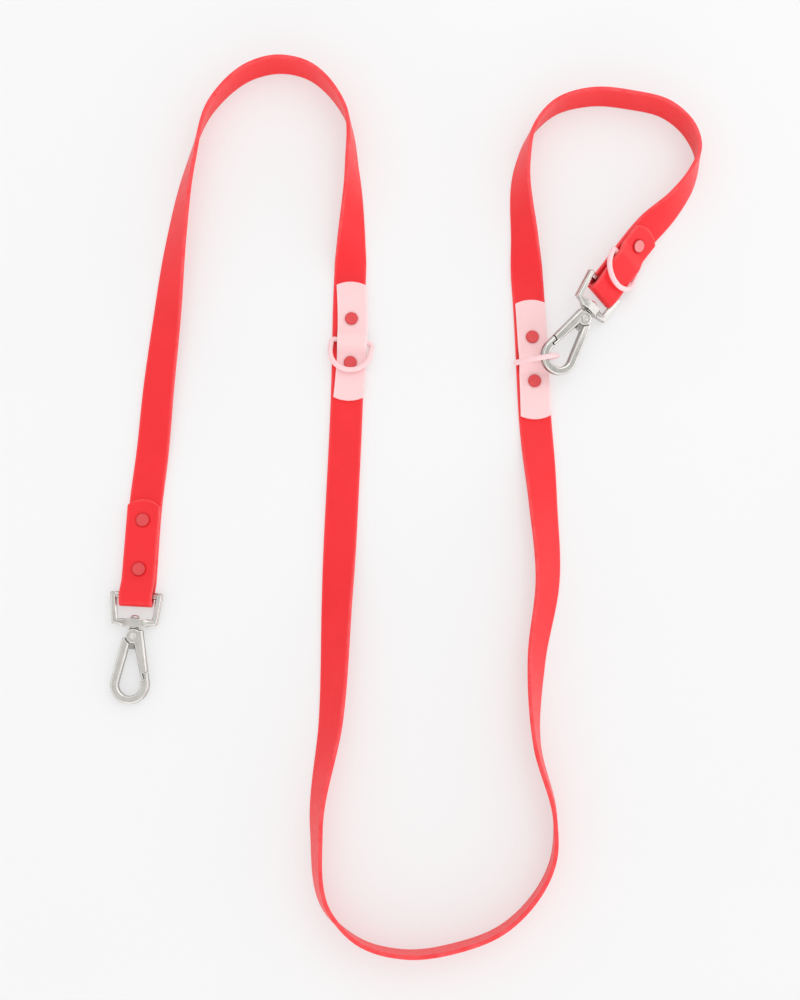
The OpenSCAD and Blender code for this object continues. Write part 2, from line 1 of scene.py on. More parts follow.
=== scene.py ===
"""Looks of a multi-way dog leash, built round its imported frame.

One coated strap lies on a table in long loops. Each end is folded round the eye of a swivel snap
hook and riveted. Two riveted patches hold a D-ring each, and a third D-ring sits in the handle end.
Sizes are in millimetres and become metres when a mesh is made.
"""

import json
import logging
from dataclasses import dataclass
from enum import Enum

import bmesh
import bpy
import numpy as np
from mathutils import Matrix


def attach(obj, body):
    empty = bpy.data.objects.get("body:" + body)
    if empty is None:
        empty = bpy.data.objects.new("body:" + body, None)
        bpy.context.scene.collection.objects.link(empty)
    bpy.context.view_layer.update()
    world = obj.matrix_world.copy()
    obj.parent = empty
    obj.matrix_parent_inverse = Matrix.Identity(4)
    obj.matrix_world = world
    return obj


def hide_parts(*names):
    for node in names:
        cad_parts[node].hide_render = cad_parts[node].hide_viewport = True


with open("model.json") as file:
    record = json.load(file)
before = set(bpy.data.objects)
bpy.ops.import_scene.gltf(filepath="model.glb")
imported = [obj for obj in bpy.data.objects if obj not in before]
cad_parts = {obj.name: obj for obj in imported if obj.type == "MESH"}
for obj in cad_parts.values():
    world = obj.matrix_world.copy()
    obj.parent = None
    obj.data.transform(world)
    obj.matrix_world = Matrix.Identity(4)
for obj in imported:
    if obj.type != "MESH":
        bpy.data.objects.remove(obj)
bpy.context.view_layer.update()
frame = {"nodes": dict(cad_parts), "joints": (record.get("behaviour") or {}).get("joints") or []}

MM = 0.001
# Corners closer than the weld, in metres, become one; edges shorter than a sliver go.
WELD = 1e-7
SLIVER = 1e-8
# Least length that is divided by, in millimetres.
TINY = 1e-6
# Span that holds most values of a noise.
NOISE_SPAN = (0.3, 0.7)
LOG = logging.getLogger("leash")
UP = np.array([0.0, 0.0, 1.0])
Colour = tuple[float, float, float]
Material = bpy.types.Material
Socket = bpy.types.NodeSocket


class Axis(Enum):
    """Axis that a turn goes about, as the index of its direction."""

    X = 0
    Y = 1
    Z = 2


class Layer(Enum):
    """Which layer of a riveted stack a rivet sits in: the leg on the table, or the top band."""

    LEG = "leg"
    TOP = "top"


class Rounding(Enum):
    """Which edges of a casting are rounded: all, only the long ones, or all of them very finely."""

    ALL = "all"
    LONG = "long"
    FINE = "fine"


def turn(axis: Axis, degrees: float) -> np.ndarray:
    """Matrix of a right-handed turn about one axis.

    Args:
        axis: axis of the turn.
        degrees: angle of the turn.

    Returns:
        A 3 by 3 matrix that turns column vectors.
    """
    a = np.radians(degrees)
    i, j = [(1, 2), (2, 0), (0, 1)][axis.value]
    m = np.eye(3)
    m[i, i] = m[j, j] = np.cos(a)
    m[i, j] = -np.sin(a)
    m[j, i] = np.sin(a)
    return m


def smooth(x: np.ndarray) -> np.ndarray:
    """S-shaped step from 0 to 1: three x squared less two x cubed, held outside."""
    t = np.clip(x, 0.0, 1.0)
    return t * t * (3.0 - 2.0 * t)


def joint_value(name: str, key: str) -> np.ndarray:
    """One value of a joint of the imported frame."""
    return np.array([j[key] for j in frame["joints"] if j["name"] == name][0])


def joint_place(name: str) -> np.ndarray:
    """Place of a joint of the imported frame, in millimetres."""
    return joint_value(name, "pos_m") / MM


def joint_axis(name: str) -> np.ndarray:
    """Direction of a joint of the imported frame."""
    return joint_value(name, "axis")


def ring_faces(rows: int, around: int, is_closed: bool = False) -> np.ndarray:
    """Faces of a grid of points whose rows each go once round.

    Args:
        rows: number of rows.
        around: points of a row.
        is_closed: True where the last row joins the first.

    Returns:
        Four corner numbers per face.
    """
    i, j = np.meshgrid(np.arange(rows if is_closed else rows - 1), np.arange(around), indexing="ij")
    i2, j2 = (i + 1) % rows, (j + 1) % around
    corners = [i * around + j, i * around + j2, i2 * around + j2, i2 * around + j]
    return np.stack(corners, axis=-1).reshape(-1, 4)


def outward(points: np.ndarray, quads: np.ndarray) -> np.ndarray:
    """Turns every face round if the closed surface has a negative volume.

    The volume is a sixth of the sum of a . (b x c) over the triangles of the faces.

    Args:
        points: corner places, one row each.
        quads: four corner numbers per face.

    Returns:
        The faces, pointing outwards.
    """
    a, b, c, d = (points[quads[:, k]] for k in range(4))
    volume = np.einsum("ij,ij->", a, np.cross(b, c)) + np.einsum("ij,ij->", a, np.cross(c, d))
    return quads if volume > 0 else quads[:, ::-1]


def put_in_scene(name: str, data: bpy.types.ID) -> bpy.types.Object:
    """Makes an object of a mesh, camera or lamp and links it to the scene."""
    item = bpy.data.objects.new(name, data)
    bpy.context.scene.collection.objects.link(item)
    return item


def settle(piece: bpy.types.Object, body: str, node: str) -> None:
    """Puts a piece on the body that it rides on and hides the node that it replaces."""
    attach(piece, body)
    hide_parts(node)


def read_all(items: bpy.types.bpy_prop_collection, name: str, width: int, kind: type = float) -> np.ndarray:
    """One value of every item of a mesh, as an array with a row of numbers for each."""
    values = np.empty(len(items) * width, dtype=kind)
    items.foreach_get(name, values)
    return values.reshape(-1, width)


def make_piece(
    name: str,
    points: np.ndarray,
    quads: np.ndarray,
    weld: bool = False,
    edge: np.ndarray | None = None,
    rim: np.ndarray | None = None,
    chart: np.ndarray | None = None,
) -> bpy.types.Object:
    """Puts a surface given as whole arrays into a new smooth mesh object.

    Args:
        name: name of the piece.
        points: corner places in millimetres.
        quads: four corner numbers per face.
        weld: True where corners that share a place have to become one.
        edge: how much each corner belongs to an edge painted paler, partly scuffed and partly a painted
            highlight, from 0 to 1.
        rim: how much each corner belongs to a rim with painted shade, from 0 to 1.
        chart: two map coordinates for each corner of each face, in metres.

    Returns:
        The new object, linked to the scene.
    """
    quads = np.ascontiguousarray(outward(points, quads) if chart is None else quads)
    mesh = bpy.data.meshes.new(name)
    mesh.vertices.add(len(points))
    mesh.vertices.foreach_set("co", (points * MM).astype(np.float32).ravel())
    mesh.loops.add(quads.size)
    mesh.loops.foreach_set("vertex_index", quads.astype(np.int32).ravel())
    mesh.polygons.add(len(quads))
    mesh.polygons.foreach_set("loop_start", np.arange(0, quads.size, 4, dtype=np.int32))
    mesh.update(calc_edges=True)
    for shade, values in (("edge_wear_and_highlight", edge), ("painted_rim_shade", rim)):
        if values is not None:
            shades = mesh.attributes.new(shade, "FLOAT", "POINT")
            shades.data.foreach_set("value", values.astype(np.float32))
    if chart is not None:
        mesh.uv_layers.new(name="band_map").uv.foreach_set("vector", chart.astype(np.float32).ravel())
    if weld:
        work = bmesh.new()
        work.from_mesh(mesh)
        bmesh.ops.remove_doubles(work, verts=work.verts, dist=WELD)
        bmesh.ops.dissolve_degenerate(work, edges=work.edges, dist=SLIVER)
        work.to_mesh(mesh)
        work.free()
    mesh.polygons.foreach_set("use_smooth", np.ones(len(mesh.polygons), dtype=bool))
    mesh.validate()
    return put_in_scene(name, mesh)


def dress(piece: bpy.types.Object, *materials: Material) -> None:
    """Gives a piece its material, and a second one where its edges have their own."""
    piece.data.materials.clear()
    for material in materials:
        piece.data.materials.append(material)


def set_span(node: bpy.types.Node, span: tuple[float, float, float, float]) -> None:
    """Sets what a Map Range node maps from, and to: low and high of each."""
    for name, number in zip(("From Min", "From Max", "To Min", "To Max"), span):
        node.inputs[name].default_value = number


class Recipe:
    """Writes the nodes of one material round a Principled shader."""

    def __init__(self, name: str) -> None:
        """Starts a material that holds only its shader and output."""
        self.material = bpy.data.materials.new(name)
        self.material.use_nodes = True
        self.tree = self.material.node_tree
        self.tree.nodes.clear()
        self.shader = self.tree.nodes.new("ShaderNodeBsdfPrincipled")
        self.output = self.tree.nodes.new("ShaderNodeOutputMaterial")
        self.join(self.shader.outputs["BSDF"], self.output.inputs["Surface"])
        self.places = self.tree.nodes.new("ShaderNodeTexCoord").outputs["Object"]

    def join(self, source: Socket, target: Socket) -> None:
        """Links one socket to another."""
        self.tree.links.new(source, target)

    def constant(self, **values: float) -> None:
        """Sets sockets of the shader that are the same all over the surface."""
        for name, value in values.items():
            self.shader.inputs[name.replace("_", " ")].default_value = value

    def noise(
        self, scale: float, detail: float = 3.0, rough: float = 0.55, places: Socket | None = None
    ) -> Socket:
        """Cloudy noise on the object's own coordinates.

        Args:
            scale: features per metre.
            detail: number of finer layers.
            rough: strength of the finer layers.
            places: coordinates to use in place of the object's own.

        Returns:
            The noise value, mostly within the noise span.
        """
        node = self.tree.nodes.new("ShaderNodeTexNoise")
        node.inputs["Scale"].default_value = scale
        node.inputs["Detail"].default_value = detail
        node.inputs["Roughness"].default_value = rough
        self.join(places or self.places, node.inputs["Vector"])
        return node.outputs["Fac"]

    def stretched(self, scale: tuple[float, float, float], heading: float) -> Socket:
        """Object coordinates turned about Z and stretched, for marks that run one way.

        Args:
            scale: factor along each turned axis.
            heading: turn in degrees.

        Returns:
            The changed coordinates.
        """
        node = self.tree.nodes.new("ShaderNodeMapping")
        node.vector_type = "TEXTURE"
        node.inputs["Rotation"].default_value = (0.0, 0.0, np.radians(heading))
        node.inputs["Scale"].default_value = scale
        self.join(self.places, node.inputs["Vector"])
        return node.outputs["Vector"]

    def spread(self, value: Socket, low: float, high: float) -> Socket:
        """Maps a noise value from its usual span to low and high."""
        node = self.tree.nodes.new("ShaderNodeMapRange")
        set_span(node, (*NOISE_SPAN, low, high))
        self.join(value, node.inputs["Value"])
        return node.outputs["Result"]

    def blend(self, amount: Socket, first: Socket | Colour, second: Colour) -> Socket:
        """Colour between two colours, by an amount that changes over the surface.

        Args:
            amount: 0 for the first colour, 1 for the second.
            first: a colour or a colour socket.
            second: a colour.

        Returns:
            The mixed colour.
        """
        node = self.tree.nodes.new("ShaderNodeMix")
        node.data_type = "RGBA"
        # The node has a set of sockets for each type of data; these are the amount and the colours.
        share, start, end = (node.inputs[i] for i in (0, 6, 7))
        self.join(amount, share)
        if isinstance(first, tuple):
            start.default_value = (*first, 1.0)
        else:
            self.join(first, start)
        end.default_value = (*second, 1.0)
        return node.outputs[2]

    def attribute(self, name: str) -> Socket:
        """Value that the mesh holds under a name."""
        node = self.tree.nodes.new("ShaderNodeAttribute")
        node.attribute_name = name
        return node.outputs["Fac"]

    def calculate(self, operation: str, first: Socket, second: Socket | float) -> Socket:
        """Result of one Math node on a changing value."""
        node = self.tree.nodes.new("ShaderNodeMath")
        node.operation = operation
        self.join(first, node.inputs[0])
        if isinstance(second, float):
            node.inputs[1].default_value = second
        else:
            self.join(second, node.inputs[1])
        return node.outputs[0]

    def bump(
        self, height: Socket, depth: float, strength: float, under: Socket | None = None
    ) -> Socket:
        """Bumps a height into the surface.

        Args:
            height: height value.
            depth: depth in metres of a height of 1.
            strength: how much of it shows.
            under: normal of a coarser bump to add to.

        Returns:
            The bumped normal.
        """
        node = self.tree.nodes.new("ShaderNodeBump")
        node.inputs["Distance"].default_value = depth
        node.inputs["Strength"].default_value = strength
        self.join(height, node.inputs["Height"])
        if under is not None:
            self.join(under, node.inputs["Normal"])
        return node.outputs["Normal"]

    def finish(self, colour: Socket, roughness: Socket, normal: Socket) -> Material:
        """Joins colour, roughness and normal to the shader and gives the material."""
        self.join(colour, self.shader.inputs["Base Color"])
        self.join(roughness, self.shader.inputs["Roughness"])
        self.join(normal, self.shader.inputs["Normal"])
        return self.material


@dataclass(frozen=True)
class CoatedWebbing:
    """Soft satin coating over a woven core: faint weave, fine skin grain, and edges painted paler, partly
    scuffed and partly a painted highlight.
    """

    name: str
    colour: Colour
    deep: Colour
    rubbed: Colour
    roughness: tuple[float, float] = (0.40, 0.52)
    weave_pitch: float = 1.5
    weft_share: float = 1.35
    wear: tuple[float, float] = (0.25, 0.75)

    def material(self) -> Material:
        """Builds the material on Object coordinates and the band's own map."""
        recipe = Recipe(self.name)
        recipe.constant(Specular_IOR_Level=0.36, Sheen_Weight=0.1, Sheen_Roughness=0.5)
        cloud = recipe.noise(scale=45.0, detail=4.0)
        fine = recipe.noise(scale=1500.0, detail=3.0, rough=0.6)
        colour = recipe.blend(recipe.spread(cloud, 0.0, 1.0), self.colour, self.deep)
        patchy = recipe.spread(recipe.noise(scale=160.0), *self.wear)
        # Edges and tips are painted paler: partly scuffing, partly a painted highlight along the rounded
        # edges.
        edge_wear_and_highlight_share = recipe.calculate("MULTIPLY", recipe.attribute("edge_wear_and_highlight"), patchy)
        colour = recipe.blend(edge_wear_and_highlight_share, colour, self.rubbed)
        rough = recipe.spread(recipe.noise(scale=260.0, detail=4.0), *self.roughness)
        normal = recipe.bump(self.weave(recipe), depth=0.00006, strength=0.12)
        ripple = recipe.noise(scale=380.0, detail=2.0)
        normal = recipe.bump(ripple, depth=0.00008, strength=0.14, under=normal)
        normal = recipe.bump(fine, depth=0.00003, strength=0.22, under=normal)
        return recipe.finish(colour, rough, normal)

    def weave(self, recipe: Recipe) -> Socket:
        """Height of the woven core under the skin: one sine along the band times one across it."""
        chart = recipe.tree.nodes.new("ShaderNodeUVMap")
        chart.uv_map = "band_map"
        split = recipe.tree.nodes.new("ShaderNodeSeparateXYZ")
        recipe.join(chart.outputs["UV"], split.inputs["Vector"])
        turns = 2.0 * np.pi / (self.weave_pitch * MM)
        waves = [
            recipe.calculate("SINE", recipe.calculate("MULTIPLY", split.outputs[i], turns * k), 0.0)
            for i, k in ((0, 1.0), (1, self.weft_share))
        ]
        return recipe.calculate("MULTIPLY", *waves)


@dataclass(frozen=True)
class Enamel:
    """Paint baked on metal: a soft orange-peel skin, thin in specks, with painted shade darkening a rim."""

    name: str
    colour: Colour
    thin: Colour
    roughness: tuple[float, float]
    speck_scale: float
    peel: float = 0.16
    rim_painted_shade_colour: Colour = (0.56, 0.03, 0.036)

    def material(self) -> Material:
        """Builds the material on Object coordinates."""
        recipe = Recipe(self.name)
        recipe.constant(Specular_IOR_Level=0.5)
        specks = recipe.spread(recipe.noise(self.speck_scale, detail=4.0, rough=0.65), 0.0, 1.0)
        colour = recipe.blend(specks, self.colour, self.thin)
        # Painted shade: the head's rounded rim is darkened where it turns down to the surface.
        colour = recipe.blend(recipe.attribute("painted_rim_shade"), colour, self.rim_painted_shade_colour)
        rough = recipe.spread(recipe.noise(scale=700.0, detail=3.0), *self.roughness)
        normal = recipe.bump(recipe.noise(scale=420.0, detail=2.0), depth=0.0001, strength=self.peel)
        dust = recipe.noise(scale=2600.0, detail=2.0)
        normal = recipe.bump(dust, depth=0.00003, strength=0.2, under=normal)
        return recipe.finish(colour, rough, normal)


@dataclass(frozen=True)
class SatinNickel:
    """Tumbled nickel plating: fine marks along the casting over a cloudy tone, with painted shade in narrow
    gaps and on walls.
    """

    name: str
    colour: Colour
    dull: Colour
    roughness: tuple[float, float]
    heading: float
    gap: Colour = (0.035, 0.033, 0.03)
    mark_size: tuple[float, float, float] = (1 / 300.0, 1 / 4200.0, 1 / 4200.0)

    def material(self) -> Material:
        """Builds the material on Object coordinates, with marks along the heading."""
        recipe = Recipe(self.name)
        recipe.constant(Metallic=1.0)
        cloud = recipe.spread(recipe.noise(scale=220.0, detail=4.0, rough=0.6), 0.0, 1.0)
        stretched = recipe.stretched(self.mark_size, self.heading)
        marks = recipe.noise(scale=1.0, detail=3.0, rough=0.6, places=stretched)
        colour = recipe.blend(cloud, self.colour, self.dull)
        # Painted shade: faces in the gaps, the walls and the tongue are darkened towards a near-black colour.
        colour = recipe.blend(recipe.attribute("painted_gap_shade"), colour, self.gap)
        rough = recipe.spread(marks, *self.roughness)
        normal = recipe.bump(marks, depth=0.00002, strength=0.25)
        dimples = recipe.noise(scale=900.0, detail=3.0)
        normal = recipe.bump(dimples, depth=0.00003, strength=0.15, under=normal)
        return recipe.finish(colour, rough, normal)


@dataclass(frozen=True)
class TableTop:
    """Smooth pale table with a barely uneven tone, seen a little washed out by its own brightness."""

    name: str = "table_top"
    colour: Colour = (0.9, 0.9, 0.9)
    tone: Colour = (0.885, 0.885, 0.89)
    white: float = 0.93
    washed: float = 0.5
    roughness: tuple[float, float] = (0.75, 0.9)

    def material(self) -> Material:
        """Builds the material on Object coordinates, mixed with plain white for seen and mirrored rays."""
        recipe = Recipe(self.name)
        recipe.constant(Specular_IOR_Level=0.1)
        uneven = recipe.spread(recipe.noise(scale=6.0, detail=3.0), 0.0, 1.0)
        colour = recipe.blend(uneven, self.colour, self.tone)
        rough = recipe.spread(recipe.noise(scale=40.0), *self.roughness)
        grain = recipe.bump(recipe.noise(scale=600.0), depth=0.00005, strength=0.05)
        recipe.finish(colour, rough, grain)
        path = recipe.tree.nodes.new("ShaderNodeLightPath")
        seen = recipe.calculate("ADD", path.outputs["Is Camera Ray"], path.outputs["Is Glossy Ray"])
        seen = recipe.calculate("ADD", seen, path.outputs["Is Transmission Ray"])
        glow = recipe.tree.nodes.new("ShaderNodeEmission")
        glow.inputs["Strength"].default_value = self.white
        mixed = recipe.tree.nodes.new("ShaderNodeMixShader")
        recipe.join(recipe.calculate("MULTIPLY", seen, self.washed), mixed.inputs["Fac"])
        recipe.join(recipe.shader.outputs["BSDF"], mixed.inputs[1])
        recipe.join(glow.outputs["Emission"], mixed.inputs[2])
        recipe.join(mixed.outputs["Shader"], recipe.output.inputs["Surface"])
        return recipe.material


@dataclass(frozen=True)
class Finishes:
    """All finishes of the leash, made once."""

    strap: Material
    patch: Material
    ring: Material
    rivet: Material
    pale_rivet: Material
    left_metal: Material
    right_metal: Material
    bright_edge: Material
    pin: Material

    @classmethod
    def make(cls) -> "Finishes":
        """Builds every material of the leash."""
        # The third colour of each band is its paler edge: partly scuffed, partly a painted highlight.
        red, deep_red, red_edge_wear_and_highlight = (0.91, 0.018, 0.026), (0.86, 0.014, 0.021), (0.94, 0.11, 0.12)
        pink, deep_pink, pink_edge_wear_and_highlight = (0.975, 0.65, 0.66), (0.955, 0.615, 0.625), (0.98, 0.745, 0.755)
        nickel, dull = (0.575, 0.555, 0.523), (0.485, 0.468, 0.442)
        return cls(
            strap=CoatedWebbing("strap_coating", red, deep_red, red_edge_wear_and_highlight).material(),
            patch=CoatedWebbing("patch_coating", pink, deep_pink, pink_edge_wear_and_highlight).material(),
            ring=Enamel(
                "ring_enamel", (0.96, 0.66, 0.675), (0.93, 0.61, 0.63), (0.30, 0.42), 300.0
            ).material(),
            rivet=Enamel(
                "rivet_enamel", (0.69, 0.042, 0.047), (0.79, 0.075, 0.08), (0.34, 0.55), 1100.0, 0.3
            ).material(),
            # The handle's rivet is painted paler all over: a painted highlight on its tilted head.
            pale_rivet=Enamel(
                "painted_highlight_rivet_enamel", (0.80, 0.21, 0.21), (0.85, 0.27, 0.27), (0.34, 0.55), 1100.0, 0.3
            ).material(),
            left_metal=SatinNickel("left_hook_nickel", nickel, dull, (0.22, 0.36), 267.0).material(),
            right_metal=SatinNickel("right_hook_nickel", nickel, dull, (0.22, 0.36), 240.0).material(),
            # Rounded edges of the castings: scuffed, and painted much lighter as a painted highlight.
            bright_edge=SatinNickel(
                "scuffed_and_highlit_edge_nickel", (0.90, 0.88, 0.85), (0.80, 0.78, 0.75), (0.12, 0.24), 250.0
            ).material(),
            pin=SatinNickel(
                "pin_steel", (0.72, 0.71, 0.69), (0.60, 0.59, 0.57), (0.18, 0.30), 0.0
            ).material(),
        )


@dataclass(frozen=True)
class Band:
    """Cross-section of a coated band: a flat strip with round edges."""

    width: float
    thick: float
    edge_r: float
    flats: int = 41
    fine_half: float = 5.6
    outer_steps: int = 5
    corners: int = 4
    edge_wear_and_highlight_reach: float = 1.6

    @property
    def count(self) -> int:
        """Number of points of the section."""
        return 2 * self.flats + 4 * self.corners

    def loop(self) -> tuple[np.ndarray, np.ndarray]:
        """Points of the section, once round: top, left edge, underside, right edge.

        A corner point is the corner's middle plus the edge radius at an angle in steps of a quarter turn.

        Returns:
            Places across the band, and places through its thickness.
        """
        run = self.flat_run()
        bend = np.linspace(0.0, np.pi / 2, self.corners + 1)
        a, h, r = self.width / 2 - self.edge_r, self.thick / 2 - self.edge_r, self.edge_r
        arcs = [bend[1:] + np.pi / 2, bend[:-1] + np.pi, bend[1:] + 3 * np.pi / 2, bend[:-1]]
        mids = [(-a, h), (-a, -h), (a, -h), (a, h)]
        xs = [m[0] + r * np.cos(t) for m, t in zip(mids, arcs)]
        zs = [m[1] + r * np.sin(t) for m, t in zip(mids, arcs)]
        flat = np.full(self.flats, self.thick / 2)
        return (
            np.concatenate([run, xs[0], xs[1], -run, xs[2], xs[3]]),
            np.concatenate([flat, zs[0], zs[1], -flat, zs[2], zs[3]]),
        )

    def flat_run(self) -> np.ndarray:
        """Places across the flat top from right to left, closer together where rivets sit."""
        half = self.width / 2 - self.edge_r
        outer = np.linspace(half, self.fine_half, self.outer_steps)[:-1]
        inner = np.linspace(self.fine_half, -self.fine_half, self.flats - 2 * len(outer))
        return np.concatenate([outer, inner, -outer[::-1]])

    def chains(self) -> tuple[np.ndarray, np.ndarray]:
        """Section points of the upper half from right to left, and those below each of them."""
        m, k, n = self.flats, self.corners, self.count
        upper = np.concatenate([np.arange(2 * m + 3 * k, n), np.arange(m + k)])
        lower = np.arange(2 * m + 3 * k - 1, m + k - 1, -1)
        return upper, lower

    def topside(self) -> slice:
        """Section points of the flat top."""
        return slice(0, self.flats)

    def underside(self) -> slice:
        """Section points of the flat underside."""
        start = self.flats + 2 * self.corners
        return slice(start, start + self.flats)

    def edge_share(self) -> np.ndarray:
        """How much each section point belongs to an edge painted paler, partly scuffed and partly a painted
        highlight: 1 on the round, falling to 0 over the reach.
        """
        x, _ = self.loop()
        inside = self.width / 2 - self.edge_r / 2 - np.abs(x)
        return np.clip(1.0 - inside / self.edge_wear_and_highlight_reach, 0.0, 1.0) ** 2

    def sag(self, arch_r: float) -> float:
        """How far an end arched to a radius stands out in the middle of the band."""
        return arch_r - np.sqrt(arch_r**2 - (self.width / 2) ** 2)

    def faces(self, rows: int) -> np.ndarray:
        """Faces of a row of sections with both ends closed.

        Args:
            rows: number of sections.

        Returns:
            Four corner numbers per face: the sides first, then the two ends.
        """
        upper, lower = self.chains()
        end = np.stack([upper[:-1], upper[1:], lower[1:], lower[:-1]], axis=-1)
        return np.concatenate([ring_faces(rows, self.count), end[:, ::-1], end + (rows - 1) * self.count])

    def charted(self, along: np.ndarray, quads: np.ndarray) -> np.ndarray:
        """Map coordinates of every face corner: length along the band and way round the section.

        Args:
            along: length at each section.
            quads: the faces of these sections.

        Returns:
            Two coordinates in metres for each face corner.
        """
        x, z = self.loop()
        steps = np.hypot(np.diff(x, append=x[:1]), np.diff(z, append=z[:1]))
        around = np.concatenate([[0.0], np.cumsum(steps)])
        row, column = np.divmod(quads, self.count)
        last = (column == 0) & (np.max(column, axis=1, keepdims=True) == self.count - 1)
        v = around[np.where(last, self.count, column)]
        return np.stack([along[row], v], axis=-1) * MM


@dataclass
class Rows:
    """Sections of a band in order: middle, two directions, and how its end is shaped."""

    middle: np.ndarray
    across: np.ndarray
    normal: np.ndarray
    ahead: np.ndarray
    bulge: np.ndarray
    thin: np.ndarray
    narrow: np.ndarray

    @classmethod
    def plain(cls, middle: np.ndarray, across: np.ndarray, normal: np.ndarray) -> "Rows":
        """Sections of full size with straight rows."""
        one = np.ones(len(middle))
        return cls(middle, across, normal, np.zeros_like(middle), 0.0 * one, one, one.copy())

    def back(self) -> "Rows":
        """The same sections in the opposite order."""
        return Rows(*(getattr(self, n)[::-1] for n in self.__dataclass_fields__))

    @staticmethod
    def chain(parts: list["Rows"]) -> "Rows":
        """One list of sections from several."""
        return Rows(*(np.concatenate([getattr(p, n) for p in parts]) for n in Rows.__dataclass_fields__))

    def points(self, band: Band, arch_r: float) -> np.ndarray:
        """Surface points, section by section.

        A point is the middle, plus its place across and through the band, plus the arch of the row,
        which is the bulge times how far a circle of the arch's radius stands out at that place across.

        Args:
            band: cross-section.
            arch_r: radius of the arched ends.

        Returns:
            An array of sections by points by three.
        """
        x, z = band.loop()
        stand = band.sag(arch_r) - arch_r + np.sqrt(arch_r**2 - x**2)
        return (
            self.middle[:, None, :]
            + (self.narrow[:, None] * x)[..., None] * self.across[:, None, :]
            + (self.thin[:, None] * z)[..., None] * self.normal[:, None, :]
            + (self.bulge[:, None] * stand)[..., None] * self.ahead[:, None, :]
        )


@dataclass(frozen=True)
class RivetSpot:
    """One rivet: a point on the underside of its stack, the stack's upward direction and its height."""

    foot: np.ndarray
    axis: np.ndarray
    stack: float


@dataclass
class Ends:
    """Sizes of the strap's two folded ends, and the rivets of the whole leash."""

    strap_t: float = 2.5
    fold_r: float = 3.55
    tail_low: float = -0.75
    tail_over_ring: float = 2.45
    left_heading: float = 267.0
    left_fold: float = 2.0
    left_tail: float = 59.0
    left_rivets: tuple[float, float] = (-46.0, -16.0)
    left_slip: float = 0.7
    right_heading: float = -128.0
    right_roll: float = 36.0
    right_fold: float = 2.8
    right_slip: float = 1.2
    handle_tail: float = 47.0
    handle_rivet: float = -34.5
    ring_3_at: float = -21.5
    table: tuple[float, float] = (-0.6, -0.3)
    patch_at: tuple[tuple[float, float], ...] = ((-37.5, 93.5), (75.7, 81.8))
    patch_turn: tuple[float, float] = (-1.2, 2.0)
    patch_bow: tuple[tuple[float, float], ...] = ((0.9, -0.9), (0.2, -0.3))
    rivet_pitch: float = 28.0
    pair_stack: float = 5.3
    patch_stack: float = 4.65
    ring_heading: tuple[float, float] = (-98.0, -80.0)
    ring_tilt: tuple[float, float, float] = (-10.0, -79.0, -27.0)

    def __post_init__(self) -> None:
        """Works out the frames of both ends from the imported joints."""
        self.foot_z = -self.fold_r - self.strap_t / 2
        self.left_bar = joint_place("left_eye_swing")
        self.left_frame = turn(Axis.Z, self.left_heading)
        self.right_frame = turn(Axis.Z, self.right_heading) @ turn(Axis.X, -self.right_roll)
        self.right_bar = joint_place("right_eye_swing") + self.right_slip * self.right_frame[:, 1]

    def left_point(self, u: float, z: float, v: float = 0.0) -> np.ndarray:
        """Point in the left end's frame: along the strap, up and across it."""
        return self.left_bar + self.left_frame @ np.array([u, v, z])

    def right_point(self, u: float, z: float) -> np.ndarray:
        """Point in the handle end's frame."""
        return self.right_bar + self.right_frame @ np.array([u, 0.0, z])

    def left_spots(self) -> list[RivetSpot]:
        """Rivets of the left end."""
        return [RivetSpot(self.left_point(u, self.foot_z), UP, self.pair_stack) for u in self.left_rivets]

    def handle_spots(self) -> list[RivetSpot]:
        """Rivet of the handle end."""
        foot = self.right_point(self.handle_rivet, self.foot_z)
        return [RivetSpot(foot, self.right_frame[:, 2], self.pair_stack)]

    def patch_place(self, i: int) -> np.ndarray:
        """Middle of a patch on the table."""
        return np.array([*np.add(self.patch_at[i], self.table), 0.0])

    def patch_spots(self, i: int) -> list[RivetSpot]:
        """Rivets of one patch."""
        along = turn(Axis.Z, self.patch_turn[i])[:, 1] * self.rivet_pitch / 2
        return [RivetSpot(self.patch_place(i) + s * along, UP, self.patch_stack) for s in (-1, 1)]

    def ring_frames(self) -> list[np.ndarray]:
        """Turned frame of each D-ring: two on the table, the third in the handle end."""
        bases = [turn(Axis.Z, heading) for heading in self.ring_heading] + [self.right_frame]
        return [base @ turn(Axis.Y, tilt) for base, tilt in zip(bases, self.ring_tilt)]

    def leg_spots(self) -> list[RivetSpot]:
        """Every rivet, as the strap's leg on the table meets it."""
        return self.left_spots() + self.patch_spots(0) + self.patch_spots(1) + self.handle_spots()


@dataclass(frozen=True)
class Dent:
    """Round dent that a rivet presses: radius of its floor, width of its wall, depth, reach up the stack."""

    radius: float
    wall: float
    depth: float
    stack_reach: float = 9.0

    def press(self, points: np.ndarray, way: np.ndarray, spots: list[RivetSpot]) -> np.ndarray:
        """Presses the dent into surface points at every rivet.

        A point moves by the depth times one less a smooth step of its distance from the rivet's axis.

        Args:
            points: sections by points by three.
            way: direction of the dent for each section.
            spots: the rivets.

        Returns:
            The moved points.
        """
        pressed = points.copy()
        for spot in spots:
            off = pressed - spot.foot
            height = off @ spot.axis
            radial = np.linalg.norm(off - height[..., None] * spot.axis, axis=-1)
            share = (1.0 - smooth((radial - self.radius) / self.wall)) * (np.abs(height) < self.stack_reach)
            pressed += self.depth * share[..., None] * way[:, None, :]
        return pressed


